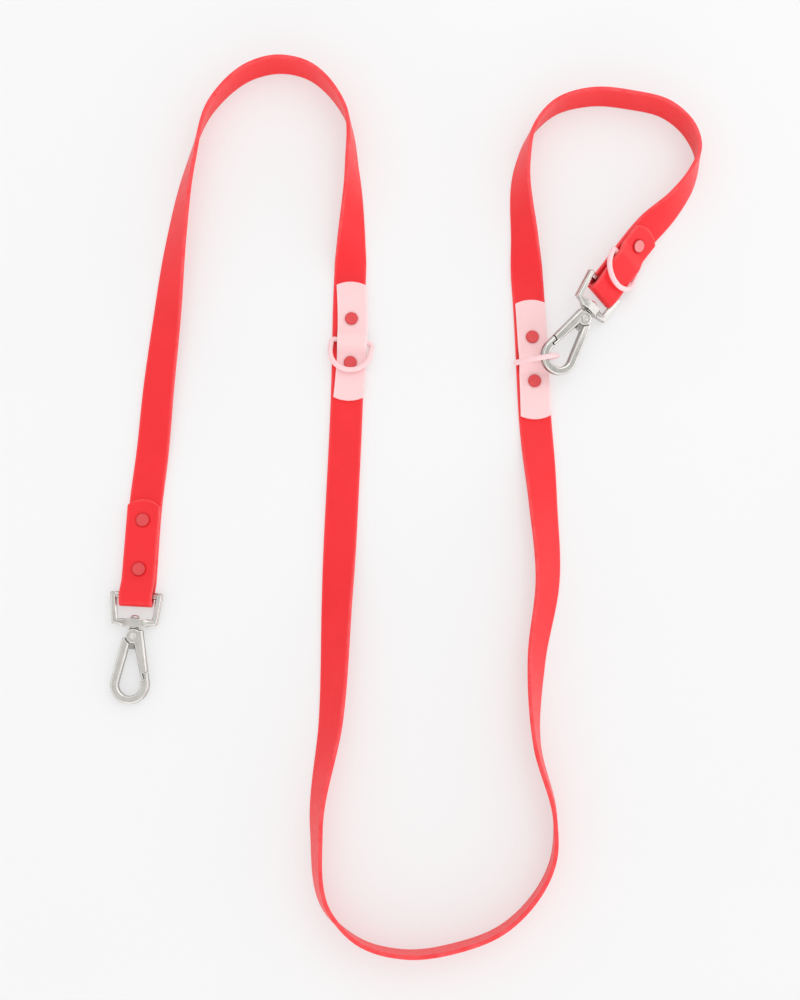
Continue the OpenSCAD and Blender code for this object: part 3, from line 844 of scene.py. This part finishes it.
@dataclass
class Strap:
    """The coated strap, from the tip of the left tail to the tip of the handle tail."""

    ends: Ends
    band: Band = Band(20.0, 2.5, 0.65)
    arch_r: float = 15.0
    leg_from: float = 8.0
    row_step: float = 4.0
    rivet_step: float = 0.5
    tail_step: float = 0.4
    rivet_reach: float = 6.0
    tip_reach: float = 9.0
    tip_wear_and_highlight: float = 2.0
    flat_past: float = 3.0
    probe_step: float = 0.5
    least_step: float = 0.2
    fold_steps: int = 31
    close_steps: int = 5
    drop_from: float = 1.0
    drop: float = 11.0
    ring_drop: float = 9.5
    leg_dent: Dent = Dent(4.15, 0.5, 0.85)
    top_dent: Dent = Dent(4.2, 0.8, 0.35)
    route: tuple[tuple[float, float, float], ...] = (
        (-159.5, 20, 4), (-156, 66, 14), (-152, 106, 26), (-147, 157, 47), (-139, 206, 68),
        (-126, 246, 86), (-101, 269, 93), (-85, 273, 95), (-68, 270, 95), (-42, 242, 89),
        (-37, 203, 70), (-37.5, 155, 32), (-38.5, 131, 0), (-40, 54, 0), (-43, -20, -3),
        (-45, -68, -24), (-48, -139, -46), (-56, -203, -71), (-48.5, -250, -80), (-31, -266, -88),
        (-4, -273, -91), (25, -269.5, -92), (52.5, -259, -91), (83, -218, -88), (84, -197, -84),
        (74, -154, -78), (74.5, -104, -58), (82, -56, -43), (80, -7, -28), (76.5, 44, 0),
        (73.5, 120, 0), (71, 157, 40), (70, 206, 69), (77, 229, 85), (91, 244, 93),
        (114, 251, 97), (139, 249, 96), (163, 242, 95), (176, 229, 93), (181, 214, 85),
        (176, 197, 72), (165, 181, 58),
    )  # fmt: skip

    def rest_z(self, roll: np.ndarray) -> np.ndarray:
        """Height of the middle of a band that stands on the table at a roll, in radians."""
        return self.band.width / 2 * np.abs(np.sin(roll)) + self.band.thick / 2 * np.abs(np.cos(roll))

    def knots(self) -> np.ndarray:
        """Points that the strap passes: place in plan, roll in degrees and lift above the table."""
        e = self.ends
        flat_ends = (self.leg_from, e.left_tail + self.flat_past)
        flat = [e.left_point(-u, -e.fold_r, e.left_slip)[:2] for u in flat_ends]
        handle = [e.right_point(-u, -e.fold_r) for u in (e.handle_tail, self.leg_from)]
        lift = handle[1][2] - self.rest_z(np.radians(e.right_roll))
        route = np.array(self.route, dtype=float)
        route[:, :2] += e.table
        return np.concatenate([
            [[*p, 0.0, 0.0] for p in flat],
            np.column_stack([route, np.zeros(len(route))]),
            [[*p[:2], e.right_roll, lift] for p in handle],
        ])  # fmt: skip

    def curve(self) -> tuple[np.ndarray, np.ndarray, np.ndarray]:
        """Knots, running length at each knot, and slope of the curve at each knot.

        The slope in plan is the average of the two spans beside a knot, each weighted by the other's
        length. The slope of roll and lift is their harmonic mean, so that neither overshoots.

        Returns:
            The knots, the running lengths and the slopes.
        """
        knots = self.knots()
        spans = np.hypot(*np.diff(knots[:, :2], axis=0).T)
        sloped = np.diff(knots, axis=0) / spans[:, None]
        a, b = sloped[:-1], sloped[1:]
        f = (spans[1:] / (spans[:-1] + spans[1:]))[:, None]
        even = f * a + (1.0 - f) * b
        total = np.where(a * b > 0.0, a + b, 1.0)
        gentle = np.where(a * b > 0.0, 2.0 * a * b / total, 0.0)
        inner = np.concatenate([even[:, :2], gentle[:, 2:]], axis=1)
        lengths = np.concatenate([[0.0], np.cumsum(spans)])
        return knots, lengths, np.concatenate([sloped[:1], inner, sloped[-1:]])

    def at(self, s: np.ndarray) -> tuple[np.ndarray, np.ndarray]:
        """Cubic curve through the knots, and its direction.

        Args:
            s: running lengths.

        Returns:
            Place in plan, roll and lift at each length, and their rates.
        """
        knots, lengths, slopes = self.curve()
        i = np.clip(np.searchsorted(lengths, s, side="right") - 1, 0, len(knots) - 2)
        span = (lengths[i + 1] - lengths[i])[:, None]
        t = (s[:, None] - lengths[i][:, None]) / span
        place = (
            (2 * t**3 - 3 * t**2 + 1) * knots[i]
            + (t**3 - 2 * t**2 + t) * span * slopes[i]
            + (3 * t**2 - 2 * t**3) * knots[i + 1]
            + (t**3 - t**2) * span * slopes[i + 1]
        )
        rate = (
            (6 * t**2 - 6 * t) * (knots[i] - knots[i + 1]) / span
            + (3 * t**2 - 4 * t + 1) * slopes[i]
            + (3 * t**2 - 2 * t) * slopes[i + 1]
        )
        return place, rate

    def leg_lengths(self) -> np.ndarray:
        """Running lengths of the sections between the folds, closer together beside each rivet."""
        whole = self.curve()[1][-1]
        probe = np.linspace(0.0, whole, int(whole / self.probe_step))
        plan = self.at(probe)[0][:, :2]
        feet = np.array([s.foot[:2] for s in self.ends.leg_spots()])
        near = probe[np.argmin(np.linalg.norm(plan[:, None] - feet[None], axis=-1), axis=0)]
        beside = np.arange(-self.rivet_reach, self.rivet_reach + self.rivet_step / 2, self.rivet_step)
        dense = (near[:, None] + beside[None]).ravel()
        lengths = np.unique(np.concatenate([np.arange(0.0, whole, self.row_step), dense, [whole]]))
        lengths = lengths[(lengths >= 0.0) & (lengths <= whole)]
        keep = np.concatenate([np.diff(lengths) > self.least_step, [True]])
        return lengths[keep]

    def leg_rows(self) -> Rows:
        """Sections between the two folds, each standing on the table at its own roll."""
        place, rate = self.at(self.leg_lengths())
        plan = rate[:, :2] / np.linalg.norm(rate[:, :2], axis=1)[:, None]
        left = np.column_stack([-plan[:, 1], plan[:, 0], np.zeros(len(plan))])
        roll = np.radians(place[:, 2])[:, None]
        middle = np.column_stack([place[:, :2], self.rest_z(roll[:, 0]) + place[:, 3]])
        across = np.cos(roll) * left - np.sin(roll) * UP
        return Rows.plain(middle, across, np.cos(roll) * UP + np.sin(roll) * left)

    def left_tail_z(self, u: np.ndarray) -> np.ndarray:
        """Height of the left tail over the bar's middle: down to the leg in one smooth step."""
        e = self.ends
        return e.fold_r + (e.tail_low - e.fold_r) * smooth(-u / self.drop)

    def handle_tail_z(self, u: np.ndarray) -> np.ndarray:
        """Height of the handle tail: down to the ring's bar, level over it, then down to the leg."""
        e = self.ends
        near = e.fold_r + (e.tail_over_ring - e.fold_r) * smooth((-self.drop_from - u) / self.drop)
        past_ring = smooth((e.ring_3_at - u) / self.ring_drop)
        far = e.tail_over_ring + (e.tail_low - e.tail_over_ring) * past_ring
        return np.where(u > e.ring_3_at, near, far)

    def fold_rows(self, is_left: bool) -> Rows:
        """Sections round the eye's bar and along the tail to its arched, rounded tip.

        The fold is half a circle about the bar. Near the tip the rows bulge up to a full arch, and the
        last rows close in on a quarter circle of the edge radius.

        Args:
            is_left: True for the left end, False for the handle end.

        Returns:
            The sections, from the leg to the tip.
        """
        e, half = self.ends, self.band.width / 2
        fold, tail = (e.left_fold, e.left_tail) if is_left else (e.right_fold, e.handle_tail)
        bar, axes = (e.left_bar, e.left_frame) if is_left else (e.right_bar, e.right_frame)
        edge = self.band.edge_r
        a = np.linspace(0.0, np.pi, self.fold_steps)
        corner = tail - self.band.sag(self.arch_r) - edge
        run = -np.arange(self.drop_from, corner, self.tail_step)
        close = np.linspace(0.0, np.pi / 2, self.close_steps)
        u = np.concatenate([fold + e.fold_r * np.sin(a), run, -corner - edge * np.sin(close)])
        tail_z = self.left_tail_z if is_left else self.handle_tail_z
        z = np.concatenate([-e.fold_r * np.cos(a), tail_z(run), np.full(len(close), e.tail_low)])
        du, dz = np.gradient(u), np.gradient(z)
        size = np.hypot(du, dz)
        du, dz = (du / size)[:, None], (dz / size)[:, None]
        still = np.ones(len(a) + len(run))
        shrink = 1.0 - np.cos(close)
        tipped = smooth((-u - corner + self.tip_reach) / self.tip_reach)
        bulge = np.where(np.arange(len(u)) < len(a), 0.0, tipped)
        return Rows(
            middle=bar + u[:, None] * axes[:, 0] + z[:, None] * axes[:, 2],
            across=np.tile((-1.0 if is_left else 1.0) * axes[:, 1], (len(u), 1)),
            normal=du * axes[:, 2] - dz * axes[:, 0],
            ahead=np.tile(-axes[:, 0], (len(u), 1)),
            bulge=bulge,
            thin=np.concatenate([still, 1.0 - edge / (self.band.thick / 2) * shrink]),
            narrow=np.concatenate([still, 1.0 - edge / half * shrink]),
        )

    def build(self) -> bpy.types.Object:
        """Returns:
            The strap.
        """
        left, leg, handle = self.fold_rows(True).back(), self.leg_rows(), self.fold_rows(False)
        rows = Rows.chain([left, leg, handle])
        points = rows.points(self.band, self.arch_r)
        under = self.band.underside()
        tails = (len(left.middle) - self.fold_steps, len(points) - len(handle.middle) + self.fold_steps)
        ranges = {
            Layer.LEG: np.arange(len(left.middle), len(left.middle) + len(leg.middle)),
            Layer.TOP: np.r_[0 : tails[0], tails[1] : len(points)],
        }
        dents = {
            Layer.LEG: (self.leg_dent, self.ends.leg_spots()),
            Layer.TOP: (self.top_dent, self.ends.left_spots() + self.ends.handle_spots()),
        }
        for layer, (dent, spots) in dents.items():
            part = ranges[layer]
            points[part, under] = dent.press(points[part, under], rows.normal[part], spots)
        line = rows.middle + (rows.bulge * self.band.sag(self.arch_r))[:, None] * rows.ahead
        steps = np.linalg.norm(np.diff(line, axis=0), axis=1)
        along = np.concatenate([[0.0], np.cumsum(steps)])
        flat = points.reshape(-1, 3)
        quads = outward(flat, self.band.faces(len(points)))
        # The tips are painted paler over a short reach too: scuffing and painted highlight.
        edge = np.tile(self.band.edge_share(), len(points))
        tip = np.minimum(along, along[-1] - along)
        tip_share = np.clip(1.0 - tip / self.tip_wear_and_highlight, 0.0, 1.0)
        edge = np.maximum(edge, np.repeat(tip_share, self.band.count))
        piece = make_piece("strap_band", flat, quads, edge=edge, chart=self.band.charted(along, quads))
        settle(piece, "strap_body", "strap")
        LOG.info("strap_band: %d sections, %.0f mm long", len(points), along[-1])
        return piece


@dataclass
class Patch:
    """A short pale band on the strap, with a tunnel over a ring's bar and arched ends."""

    ends: Ends
    index: int
    bow: tuple[float, float]
    band: Band = Band(18.5, 2.0, 0.55)
    length: float = 76.0
    arch_r: float = 22.0
    low: float = 2.65
    tunnel_h: float = 3.35
    tunnel_top: float = 1.7
    tunnel_side: float = 8.4
    end_reach: float = 9.0
    run_steps: int = 201
    close_steps: int = 5
    dent: Dent = Dent(4.2, 0.8, 0.2)

    def rows(self) -> Rows:
        """Sections along the patch in its own frame, with the tunnel and both arched ends.

        The middle line is a parabola, from the bow's first value in the middle to its second at the ends.

        Returns:
            The sections, from the near end to the far end.
        """
        half, edge = self.band.width / 2, self.band.edge_r
        corner = self.length / 2 - self.band.sag(self.arch_r) - edge
        close = np.linspace(0.0, np.pi / 2, self.close_steps)[1:]
        run = np.linspace(-corner, corner, self.run_steps)
        y = np.concatenate([-corner - edge * np.sin(close[::-1]), run, corner + edge * np.sin(close)])
        shrink = np.concatenate([1.0 - np.cos(close[::-1]), np.zeros(len(run)), 1.0 - np.cos(close)])
        rise = self.tunnel_h * (1.0 - smooth((np.abs(y) - self.tunnel_top) / self.tunnel_side))
        zero = np.zeros(len(y))
        ones = np.ones(len(y))
        middle_shift, end_shift = self.bow
        side = middle_shift + (end_shift - middle_shift) * (2.0 * y / self.length) ** 2
        return Rows(
            middle=np.column_stack([side, y, self.low + self.band.thick / 2 + rise]),
            across=np.tile([-1.0, 0.0, 0.0], (len(y), 1)),
            normal=np.tile(UP, (len(y), 1)),
            ahead=np.column_stack([zero, np.sign(y), zero]),
            bulge=smooth((np.abs(y) - corner + self.end_reach) / self.end_reach),
            thin=ones - edge / (self.band.thick / 2) * shrink,
            narrow=ones - edge / half * shrink,
        )

    def build(self) -> bpy.types.Object:
        """Builds the patch in its place and presses its rivets in.

        Returns:
            The patch.
        """
        rows = self.rows()
        points = rows.points(self.band, self.arch_r)
        frame_turn = turn(Axis.Z, self.ends.patch_turn[self.index])
        points = points @ frame_turn.T + self.ends.patch_place(self.index)
        top = self.band.topside()
        points[:, top] = self.dent.press(points[:, top], -rows.normal, self.ends.patch_spots(self.index))
        flat = points.reshape(-1, 3)
        quads = outward(flat, self.band.faces(len(points)))
        edge = np.tile(self.band.edge_share(), len(points))
        node = f"patch_{self.index + 1}"
        chart = self.band.charted(rows.middle[:, 1], quads)
        piece = make_piece(node + "_band", flat, quads, edge=edge, chart=chart)
        settle(piece, "strap_body", node)
        LOG.info("%s_band: %d sections", node, len(points))
        return piece


@dataclass
class DRing:
    """A D-ring of round wire: straight bar, two bends, two legs and a half-round bow."""

    index: int
    frame_turn: np.ndarray
    wire: float = 3.2
    half: float = 12.65
    leg: float = 6.5
    bend_r: float = 2.2
    sides: int = 28
    bar_steps: int = 25
    bend_steps: int = 13
    leg_steps: int = 7
    bow_steps: int = 61

    def line(self) -> np.ndarray:
        """Closed middle line of the wire, once round in its own plane."""
        straight = self.half - self.bend_r
        quarter = np.linspace(0.0, np.pi / 2, self.bend_steps)[:-1]
        bow = np.linspace(np.pi / 2, -np.pi / 2, self.bow_steps)[:-1]
        bar = np.linspace(-straight, straight, self.bar_steps)[:-1]
        leg = np.linspace(self.bend_r, self.leg, self.leg_steps)[:-1]
        first = np.pi - quarter
        second = -np.pi / 2 - quarter
        return np.concatenate([
            np.column_stack([0.0 * bar, bar]),
            np.column_stack([self.bend_r * (1 + np.cos(first)), straight + self.bend_r * np.sin(first)]),
            np.column_stack([leg, np.full(len(leg), self.half)]),
            np.column_stack([self.leg + self.half * np.cos(bow), self.half * np.sin(bow)]),
            np.column_stack([self.leg + self.bend_r - leg, np.full(len(leg), -self.half)]),
            np.column_stack([self.bend_r * (1 + np.cos(second)), -straight + self.bend_r * np.sin(second)]),
        ])  # fmt: skip

    def build(self) -> bpy.types.Object:
        """Carries a circle round the middle line.

        A point is the middle, plus the wire's radius times the cosine of an angle along the normal in the
        ring's plane and the sine of that angle along Z.

        Returns:
            The ring, in place.
        """
        line = self.line()
        ahead = np.roll(line, -1, axis=0) - np.roll(line, 1, axis=0)
        ahead /= np.linalg.norm(ahead, axis=1)[:, None]
        side = np.column_stack([ahead[:, 1], -ahead[:, 0], np.zeros(len(line))])
        a = np.linspace(0.0, 2 * np.pi, self.sides + 1)[:-1]
        middle = np.column_stack([line, np.zeros(len(line))])
        points = middle[:, None] + self.wire / 2 * (
            np.cos(a)[None, :, None] * side[:, None] + np.sin(a)[None, :, None] * UP
        )
        points = points @ self.frame_turn.T + joint_place(f"ring_{self.index}_swing")
        quads = ring_faces(len(line), self.sides, is_closed=True)
        node = f"ring_{self.index}"
        piece = make_piece(node + "_wire", points.reshape(-1, 3), quads)
        settle(piece, node + "_body", node)
        LOG.info("%s_wire: %d faces", node, len(quads))
        return piece


@dataclass
class RivetCaps:
    """The caps of one row of rivets: a low dished head on a stem."""

    node: str
    spots: list[RivetSpot]
    head_r: float = 4.0
    head_h: float = 1.0
    stem_r: float = 1.3
    foot: float = 1.0
    seat: float = -0.1
    under_r: float = 3.8
    rim_round: float = 0.55
    rim_flat: float = 0.3
    rim_step: float = 0.08
    dish: float = 0.2
    rim_from: float = 3.3
    rim_steps: int = 7
    dish_steps: int = 9
    segments: int = 48

    def profile(self, stack: float) -> np.ndarray:
        """Half profile from the stem's foot to the middle of the dished head, as radius and height."""
        top = stack + self.head_h
        rim = np.linspace(0.0, np.pi / 2, self.rim_steps)
        inwards = np.linspace(1.0, 0.0, self.dish_steps)[1:]
        rim_r = self.head_r - self.rim_round
        under = stack + self.seat
        stem = [[0.0, self.foot], [self.stem_r, self.foot], [self.stem_r, under], [self.under_r, under]]
        rounded = np.column_stack([np.cos(rim), np.sin(rim)]) * self.rim_round + [rim_r, top - self.rim_round]
        dished = top - self.rim_step - self.dish * (1.0 - inwards**2)
        return np.concatenate([stem, rounded, np.column_stack([(rim_r - self.rim_flat) * inwards, dished])])

    def build(self) -> bpy.types.Object:
        """Turns the profile about each rivet's axis.

        Returns:
            One piece with every cap of the row.
        """
        parts, faces, rims, start = [], [], [], 0
        a = np.linspace(0.0, 2 * np.pi, self.segments + 1)[:-1]
        for spot in self.spots:
            line = self.profile(spot.stack)
            # Share of painted shade on the rounded rim of each head.
            rim = smooth((line[:, 0] - self.rim_from) / (self.head_r - self.rim_from))
            rims.append(np.repeat(rim, self.segments))
            side = np.cross(spot.axis, [0.0, 1.0, 0.0])
            side /= np.linalg.norm(side)
            third = np.cross(spot.axis, side)
            round_way = np.cos(a)[:, None] * side + np.sin(a)[:, None] * third
            points = spot.foot + line[:, None, :1] * round_way[None] + line[:, None, 1:] * spot.axis
            parts.append(points.reshape(-1, 3))
            faces.append(ring_faces(len(line), self.segments) + start)
            start += len(parts[-1])
        places, quads, rim = (np.concatenate(arrays) for arrays in (parts, faces, rims))
        piece = make_piece(self.node + "_turned", places, quads, weld=True, rim=rim)
        settle(piece, "strap_body", self.node)
        LOG.info("%s: %d caps", piece.name, len(self.spots))
        return piece


@dataclass
class SnapHook:
    """A swivel snap hook: eye, hook, gate and pin, each a cast piece with tumbled edges."""

    side: str
    edge_r: float = 0.28
    pin_edge_r: float = 0.08
    edge_steps: int = 2
    sharp: float = 24.0
    long_edge: float = 2.0
    long_sharp: float = 40.0
    lap_angle: float = 18.7
    lap_reach: float = 25.1
    cheek_r: float = 5.1
    painted_tongue_shade: float = 0.4
    painted_wall_shade: float = 0.4
    upright_lean: float = 0.3
    facing: float = 0.8
    nose_reach: float = 2.8
    ray_half: float = 0.7
    cheek_reach: float = 0.6
    tongue_half: float = 1.6
    tongue_reach: float = 7.5
    weld: float = 0.002
    flat_angle: float = 0.6

    def painted_gap_shade(self, mesh: bpy.types.Mesh) -> np.ndarray:
        """Paints shade on the faces inside the hook's narrow gaps, which get the most, and on its walls and
        tongue a little.

        The gaps are the walls of the lap at the nose, at two radii about the pin and along the ray between
        them, the wall round the cheeks, and the tongue's faces between the cheeks.

        Args:
            mesh: mesh of a piece of the hook.

        Returns:
            How much painted shade each face gets: 1 in the narrowest gaps, 0 in the open.
        """
        middle = read_all(mesh.polygons, "center", 3) / MM - joint_place(f"{self.side}_gate_hinge")
        normal = read_all(mesh.polygons, "normal", 3)
        along = joint_axis(f"{self.side}_swivel")
        through = -joint_axis(f"{self.side}_gate_hinge")
        flat = np.stack([along, np.cross(through, along)])
        place, lean = middle @ flat.T, normal @ flat.T
        reach = np.maximum(np.hypot(*place.T), TINY)
        outwards = np.einsum("ij,ij->i", place, lean) / reach
        upright = np.abs(normal @ through) < self.upright_lean
        ray = np.radians(self.lap_angle)
        beside = np.abs(place @ np.array([-np.sin(ray), np.cos(ray)]))
        nose = upright & (np.abs(reach - self.lap_reach) < self.nose_reach)
        lap = nose & ((np.abs(outwards) > self.facing) | (beside < self.ray_half))
        cheek = upright & (np.abs(reach - self.cheek_r) < self.cheek_reach) & (outwards < -self.facing)
        tongue = ~upright & (np.abs(middle @ through) < self.tongue_half) & (reach < self.tongue_reach)
        # Painted shade: the walls and the tongue get a little, the lap and cheek gaps get it fully.
        shade = np.where(upright, self.painted_wall_shade, np.where(tongue, self.painted_tongue_shade, 0.0))
        return np.where(lap | cheek, 1.0, shade).astype(np.float32)

    def long_edges(self, mesh: bpy.types.Mesh) -> np.ndarray:
        """Picks the long edges where two faces meet sharply.

        The angle of an edge is the one between the normals of its first and its last face.

        Args:
            mesh: mesh of a casting.

        Returns:
            1 for each long sharp edge, 0 for the others.
        """
        corners = read_all(mesh.vertices, "co", 3) / MM
        ends = read_all(mesh.edges, "vertices", 2, np.int32)
        normal = read_all(mesh.polygons, "normal", 3)
        sides = read_all(mesh.polygons, "loop_total", 1, np.int32)[:, 0]
        edge_of = read_all(mesh.loops, "edge_index", 1, np.int32)[:, 0]
        face_of = np.repeat(np.arange(len(sides)), sides)[np.argsort(edge_of, kind="stable")]
        last = np.cumsum(np.bincount(edge_of, minlength=len(ends))) - 1
        first = np.concatenate([[0], last[:-1] + 1])
        bend = np.einsum("ij,ij->i", normal[face_of[first]], normal[face_of[last]])
        length = np.linalg.norm(corners[ends[:, 0]] - corners[ends[:, 1]], axis=1)
        is_sharp = bend < np.cos(np.radians(self.long_sharp))
        return ((length > self.long_edge) & is_sharp).astype(np.float32)

    def cast(self, node: str, body: str, rounding: Rounding) -> bpy.types.Object:
        """Copies a node of the frame, joins its faces and rounds its edges.

        Args:
            node: node of the frame.
            body: body that it rides on.
            rounding: which edges are rounded.

        Returns:
            The cast piece.
        """
        mesh = frame["nodes"][node].data.copy()
        mesh.name = node + "_cast"
        work = bmesh.new()
        work.from_mesh(mesh)
        bmesh.ops.remove_doubles(work, verts=work.verts, dist=self.weld * MM)
        bmesh.ops.dissolve_limit(
            work,
            angle_limit=np.radians(self.flat_angle),
            use_dissolve_boundaries=False,
            verts=work.verts,
            edges=work.edges,
        )
        work.to_mesh(mesh)
        work.free()
        mesh.polygons.foreach_set("use_smooth", np.ones(len(mesh.polygons), dtype=bool))
        if rounding is Rounding.LONG:
            mesh.set_sharp_from_angle(angle=np.radians(self.sharp))
            weights = mesh.attributes.new("bevel_weight_edge", "FLOAT", "EDGE")
            weights.data.foreach_set("value", self.long_edges(mesh))
        if rounding is Rounding.ALL:
            shades = mesh.attributes.new("painted_gap_shade", "FLOAT", "FACE")
            shades.data.foreach_set("value", self.painted_gap_shade(mesh))
        piece = put_in_scene(node + "_cast", mesh)
        rounded = piece.modifiers.new("tumbled_edges", "BEVEL")
        rounded.width = (self.pin_edge_r if rounding is Rounding.FINE else self.edge_r) * MM
        rounded.segments = self.edge_steps
        rounded.limit_method = "WEIGHT" if rounding is Rounding.LONG else "ANGLE"
        rounded.angle_limit = np.radians(self.sharp)
        rounded.harden_normals = True
        rounded.use_clamp_overlap = rounding is Rounding.FINE
        settle(piece, body, node)
        LOG.info("%s: %d faces", piece.name, len(mesh.polygons))
        return piece

    def build(self, metal: Material, edge: Material, steel: Material) -> None:
        """Makes and dresses the pieces of the hook.

        Args:
            metal: finish of the castings.
            edge: finish of their rounded edges, scuffed and painted lighter as a highlight.
            steel: finish of pin and spring.
        """
        castings = {
            "eye_frame": ("eye_body", Rounding.LONG),
            "hook_body": ("hook_assembly", Rounding.ALL),
            "gate": ("gate_body", Rounding.ALL),
        }
        for name, (body, rounding) in castings.items():
            piece = self.cast(f"{self.side}_{name}", f"{self.side}_{body}", rounding)
            dress(piece, metal, edge)
            # The rounded edges take the second material, painted lighter as a highlight.
            piece.modifiers["tumbled_edges"].material = 1
        pin = self.cast(f"{self.side}_gate_pin", f"{self.side}_gate_body", Rounding.FINE)
        dress(pin, steel)
        dress(frame["nodes"][f"{self.side}_gate_spring"], steel)


@dataclass(frozen=True)
class Studio:
    """Camera over the table, pale table top and soft light."""

    camera_at: tuple[float, float, float] = (-7.6, -133.7, 842.6)
    tilt: float = 8.6
    lens: float = 50.0
    sensor: float = 36.0
    floor_size: float = 8000.0
    floor_z: float = -0.05
    key_at: tuple[float, float, float] = (0.75, 0.95, 1.45)
    key_size: float = 1.3
    key_power: float = 4.8
    sky: tuple[tuple[float, float], ...] = (
        (0.0, 0.98), (0.2, 0.95), (0.45, 0.7), (0.72, 0.67), (1.0, 0.92),
    )  # fmt: skip
    window_from: tuple[float, float] = (0.78, 0.95)
    window: tuple[float, float] = (1.19, 2.2)
    front_from: tuple[float, float] = (-0.6, -0.95)
    front: tuple[float, float] = (0.0, 0.9)

    def set_camera(self) -> None:
        """Places the camera, looking down at the table."""
        data = bpy.data.cameras.new("camera")
        data.lens = self.lens
        data.sensor_width = self.sensor
        camera = put_in_scene("camera", data)
        camera.location = np.array(self.camera_at) * MM
        camera.rotation_euler = (np.radians(self.tilt), 0.0, 0.0)
        bpy.context.scene.camera = camera

    def set_floor(self) -> None:
        """Lays the table top just under the leash."""
        h = self.floor_size / 2
        points = np.array([[x, y, self.floor_z] for x, y in ((-h, -h), (h, -h), (h, h), (-h, h))])
        floor = make_piece("table_top", points, np.array([[0, 1, 2, 3]]), chart=np.zeros((4, 2)))
        dress(floor, TableTop().material())

    def set_lamp(self) -> None:
        """Hangs one square soft lamp that points at the middle of the table."""
        data = bpy.data.lights.new("key", "AREA")
        data.size = self.key_size
        data.energy = self.key_power
        lamp = put_in_scene("key", data)
        lamp.location = self.key_at
        lamp.rotation_euler = (-lamp.location).to_track_quat("-Z", "Y").to_euler()

    def set_sky(self) -> None:
        """Soft light from all round: a tone for each height, with brighter windows right and in front."""
        world = bpy.data.worlds.new("soft_room")
        bpy.context.scene.world = world
        world.use_nodes = True
        tree = world.node_tree
        tree.nodes.clear()
        out = tree.nodes.new("ShaderNodeOutputWorld")
        sky = tree.nodes.new("ShaderNodeBackground")
        place = tree.nodes.new("ShaderNodeTexCoord")
        split = tree.nodes.new("ShaderNodeSeparateXYZ")
        tone = tree.nodes.new("ShaderNodeValToRGB")
        stops = tone.color_ramp.elements
        for height, _ in self.sky[1:-1]:
            stops.new(height)
        for stop, (height, level) in zip(stops, self.sky):
            stop.position = height
            stop.color = (level, level, level, 1.0)
        both = tree.nodes.new("ShaderNodeMath")
        spans = {"X": (*self.window_from, *self.window), "Y": (*self.front_from, *self.front)}
        for way, added in zip(spans, both.inputs):
            side = tree.nodes.new("ShaderNodeMapRange")
            side.interpolation_type = "SMOOTHSTEP"
            set_span(side, spans[way])
            tree.links.new(split.outputs[way], side.inputs["Value"])
            tree.links.new(side.outputs["Result"], added)
        tree.links.new(place.outputs["Generated"], split.inputs["Vector"])
        tree.links.new(split.outputs["Z"], tone.inputs["Fac"])
        tree.links.new(tone.outputs["Color"], sky.inputs["Color"])
        tree.links.new(both.outputs["Value"], sky.inputs["Strength"])
        tree.links.new(sky.outputs["Background"], out.inputs["Surface"])

    def build(self) -> None:
        """Sets floor, sky and lamp."""
        self.set_floor()
        self.set_sky()
        self.set_lamp()
        bpy.context.scene.view_settings.view_transform = "Standard"


def main() -> None:
    """Builds the leash and its studio, piece by piece."""
    logging.basicConfig(level=logging.INFO, format="%(message)s")
    studio = Studio()
    studio.set_camera()
    ends = Ends()
    finishes = Finishes.make()
    dress(Strap(ends).build(), finishes.strap)
    for i, bow in enumerate(ends.patch_bow):
        dress(Patch(ends, i, bow).build(), finishes.patch)
    for index, pose in enumerate(ends.ring_frames(), start=1):
        dress(DRing(index, pose).build(), finishes.ring)
    rows = {
        "left_end_rivet_caps": (ends.left_spots(), finishes.rivet),
        "patch_1_rivet_caps": (ends.patch_spots(0), finishes.rivet),
        "patch_2_rivet_caps": (ends.patch_spots(1), finishes.rivet),
        "handle_end_rivet_cap": (ends.handle_spots(), finishes.pale_rivet),
    }
    for node, (spots, enamel) in rows.items():
        dress(RivetCaps(node, spots).build(), enamel)
        dress(frame["nodes"][node.replace("cap", "post")], enamel)
    for side, metal in (("left", finishes.left_metal), ("right", finishes.right_metal)):
        SnapHook(side).build(metal, finishes.bright_edge, finishes.pin)
    studio.build()


if __name__ == "__main__":
    main()
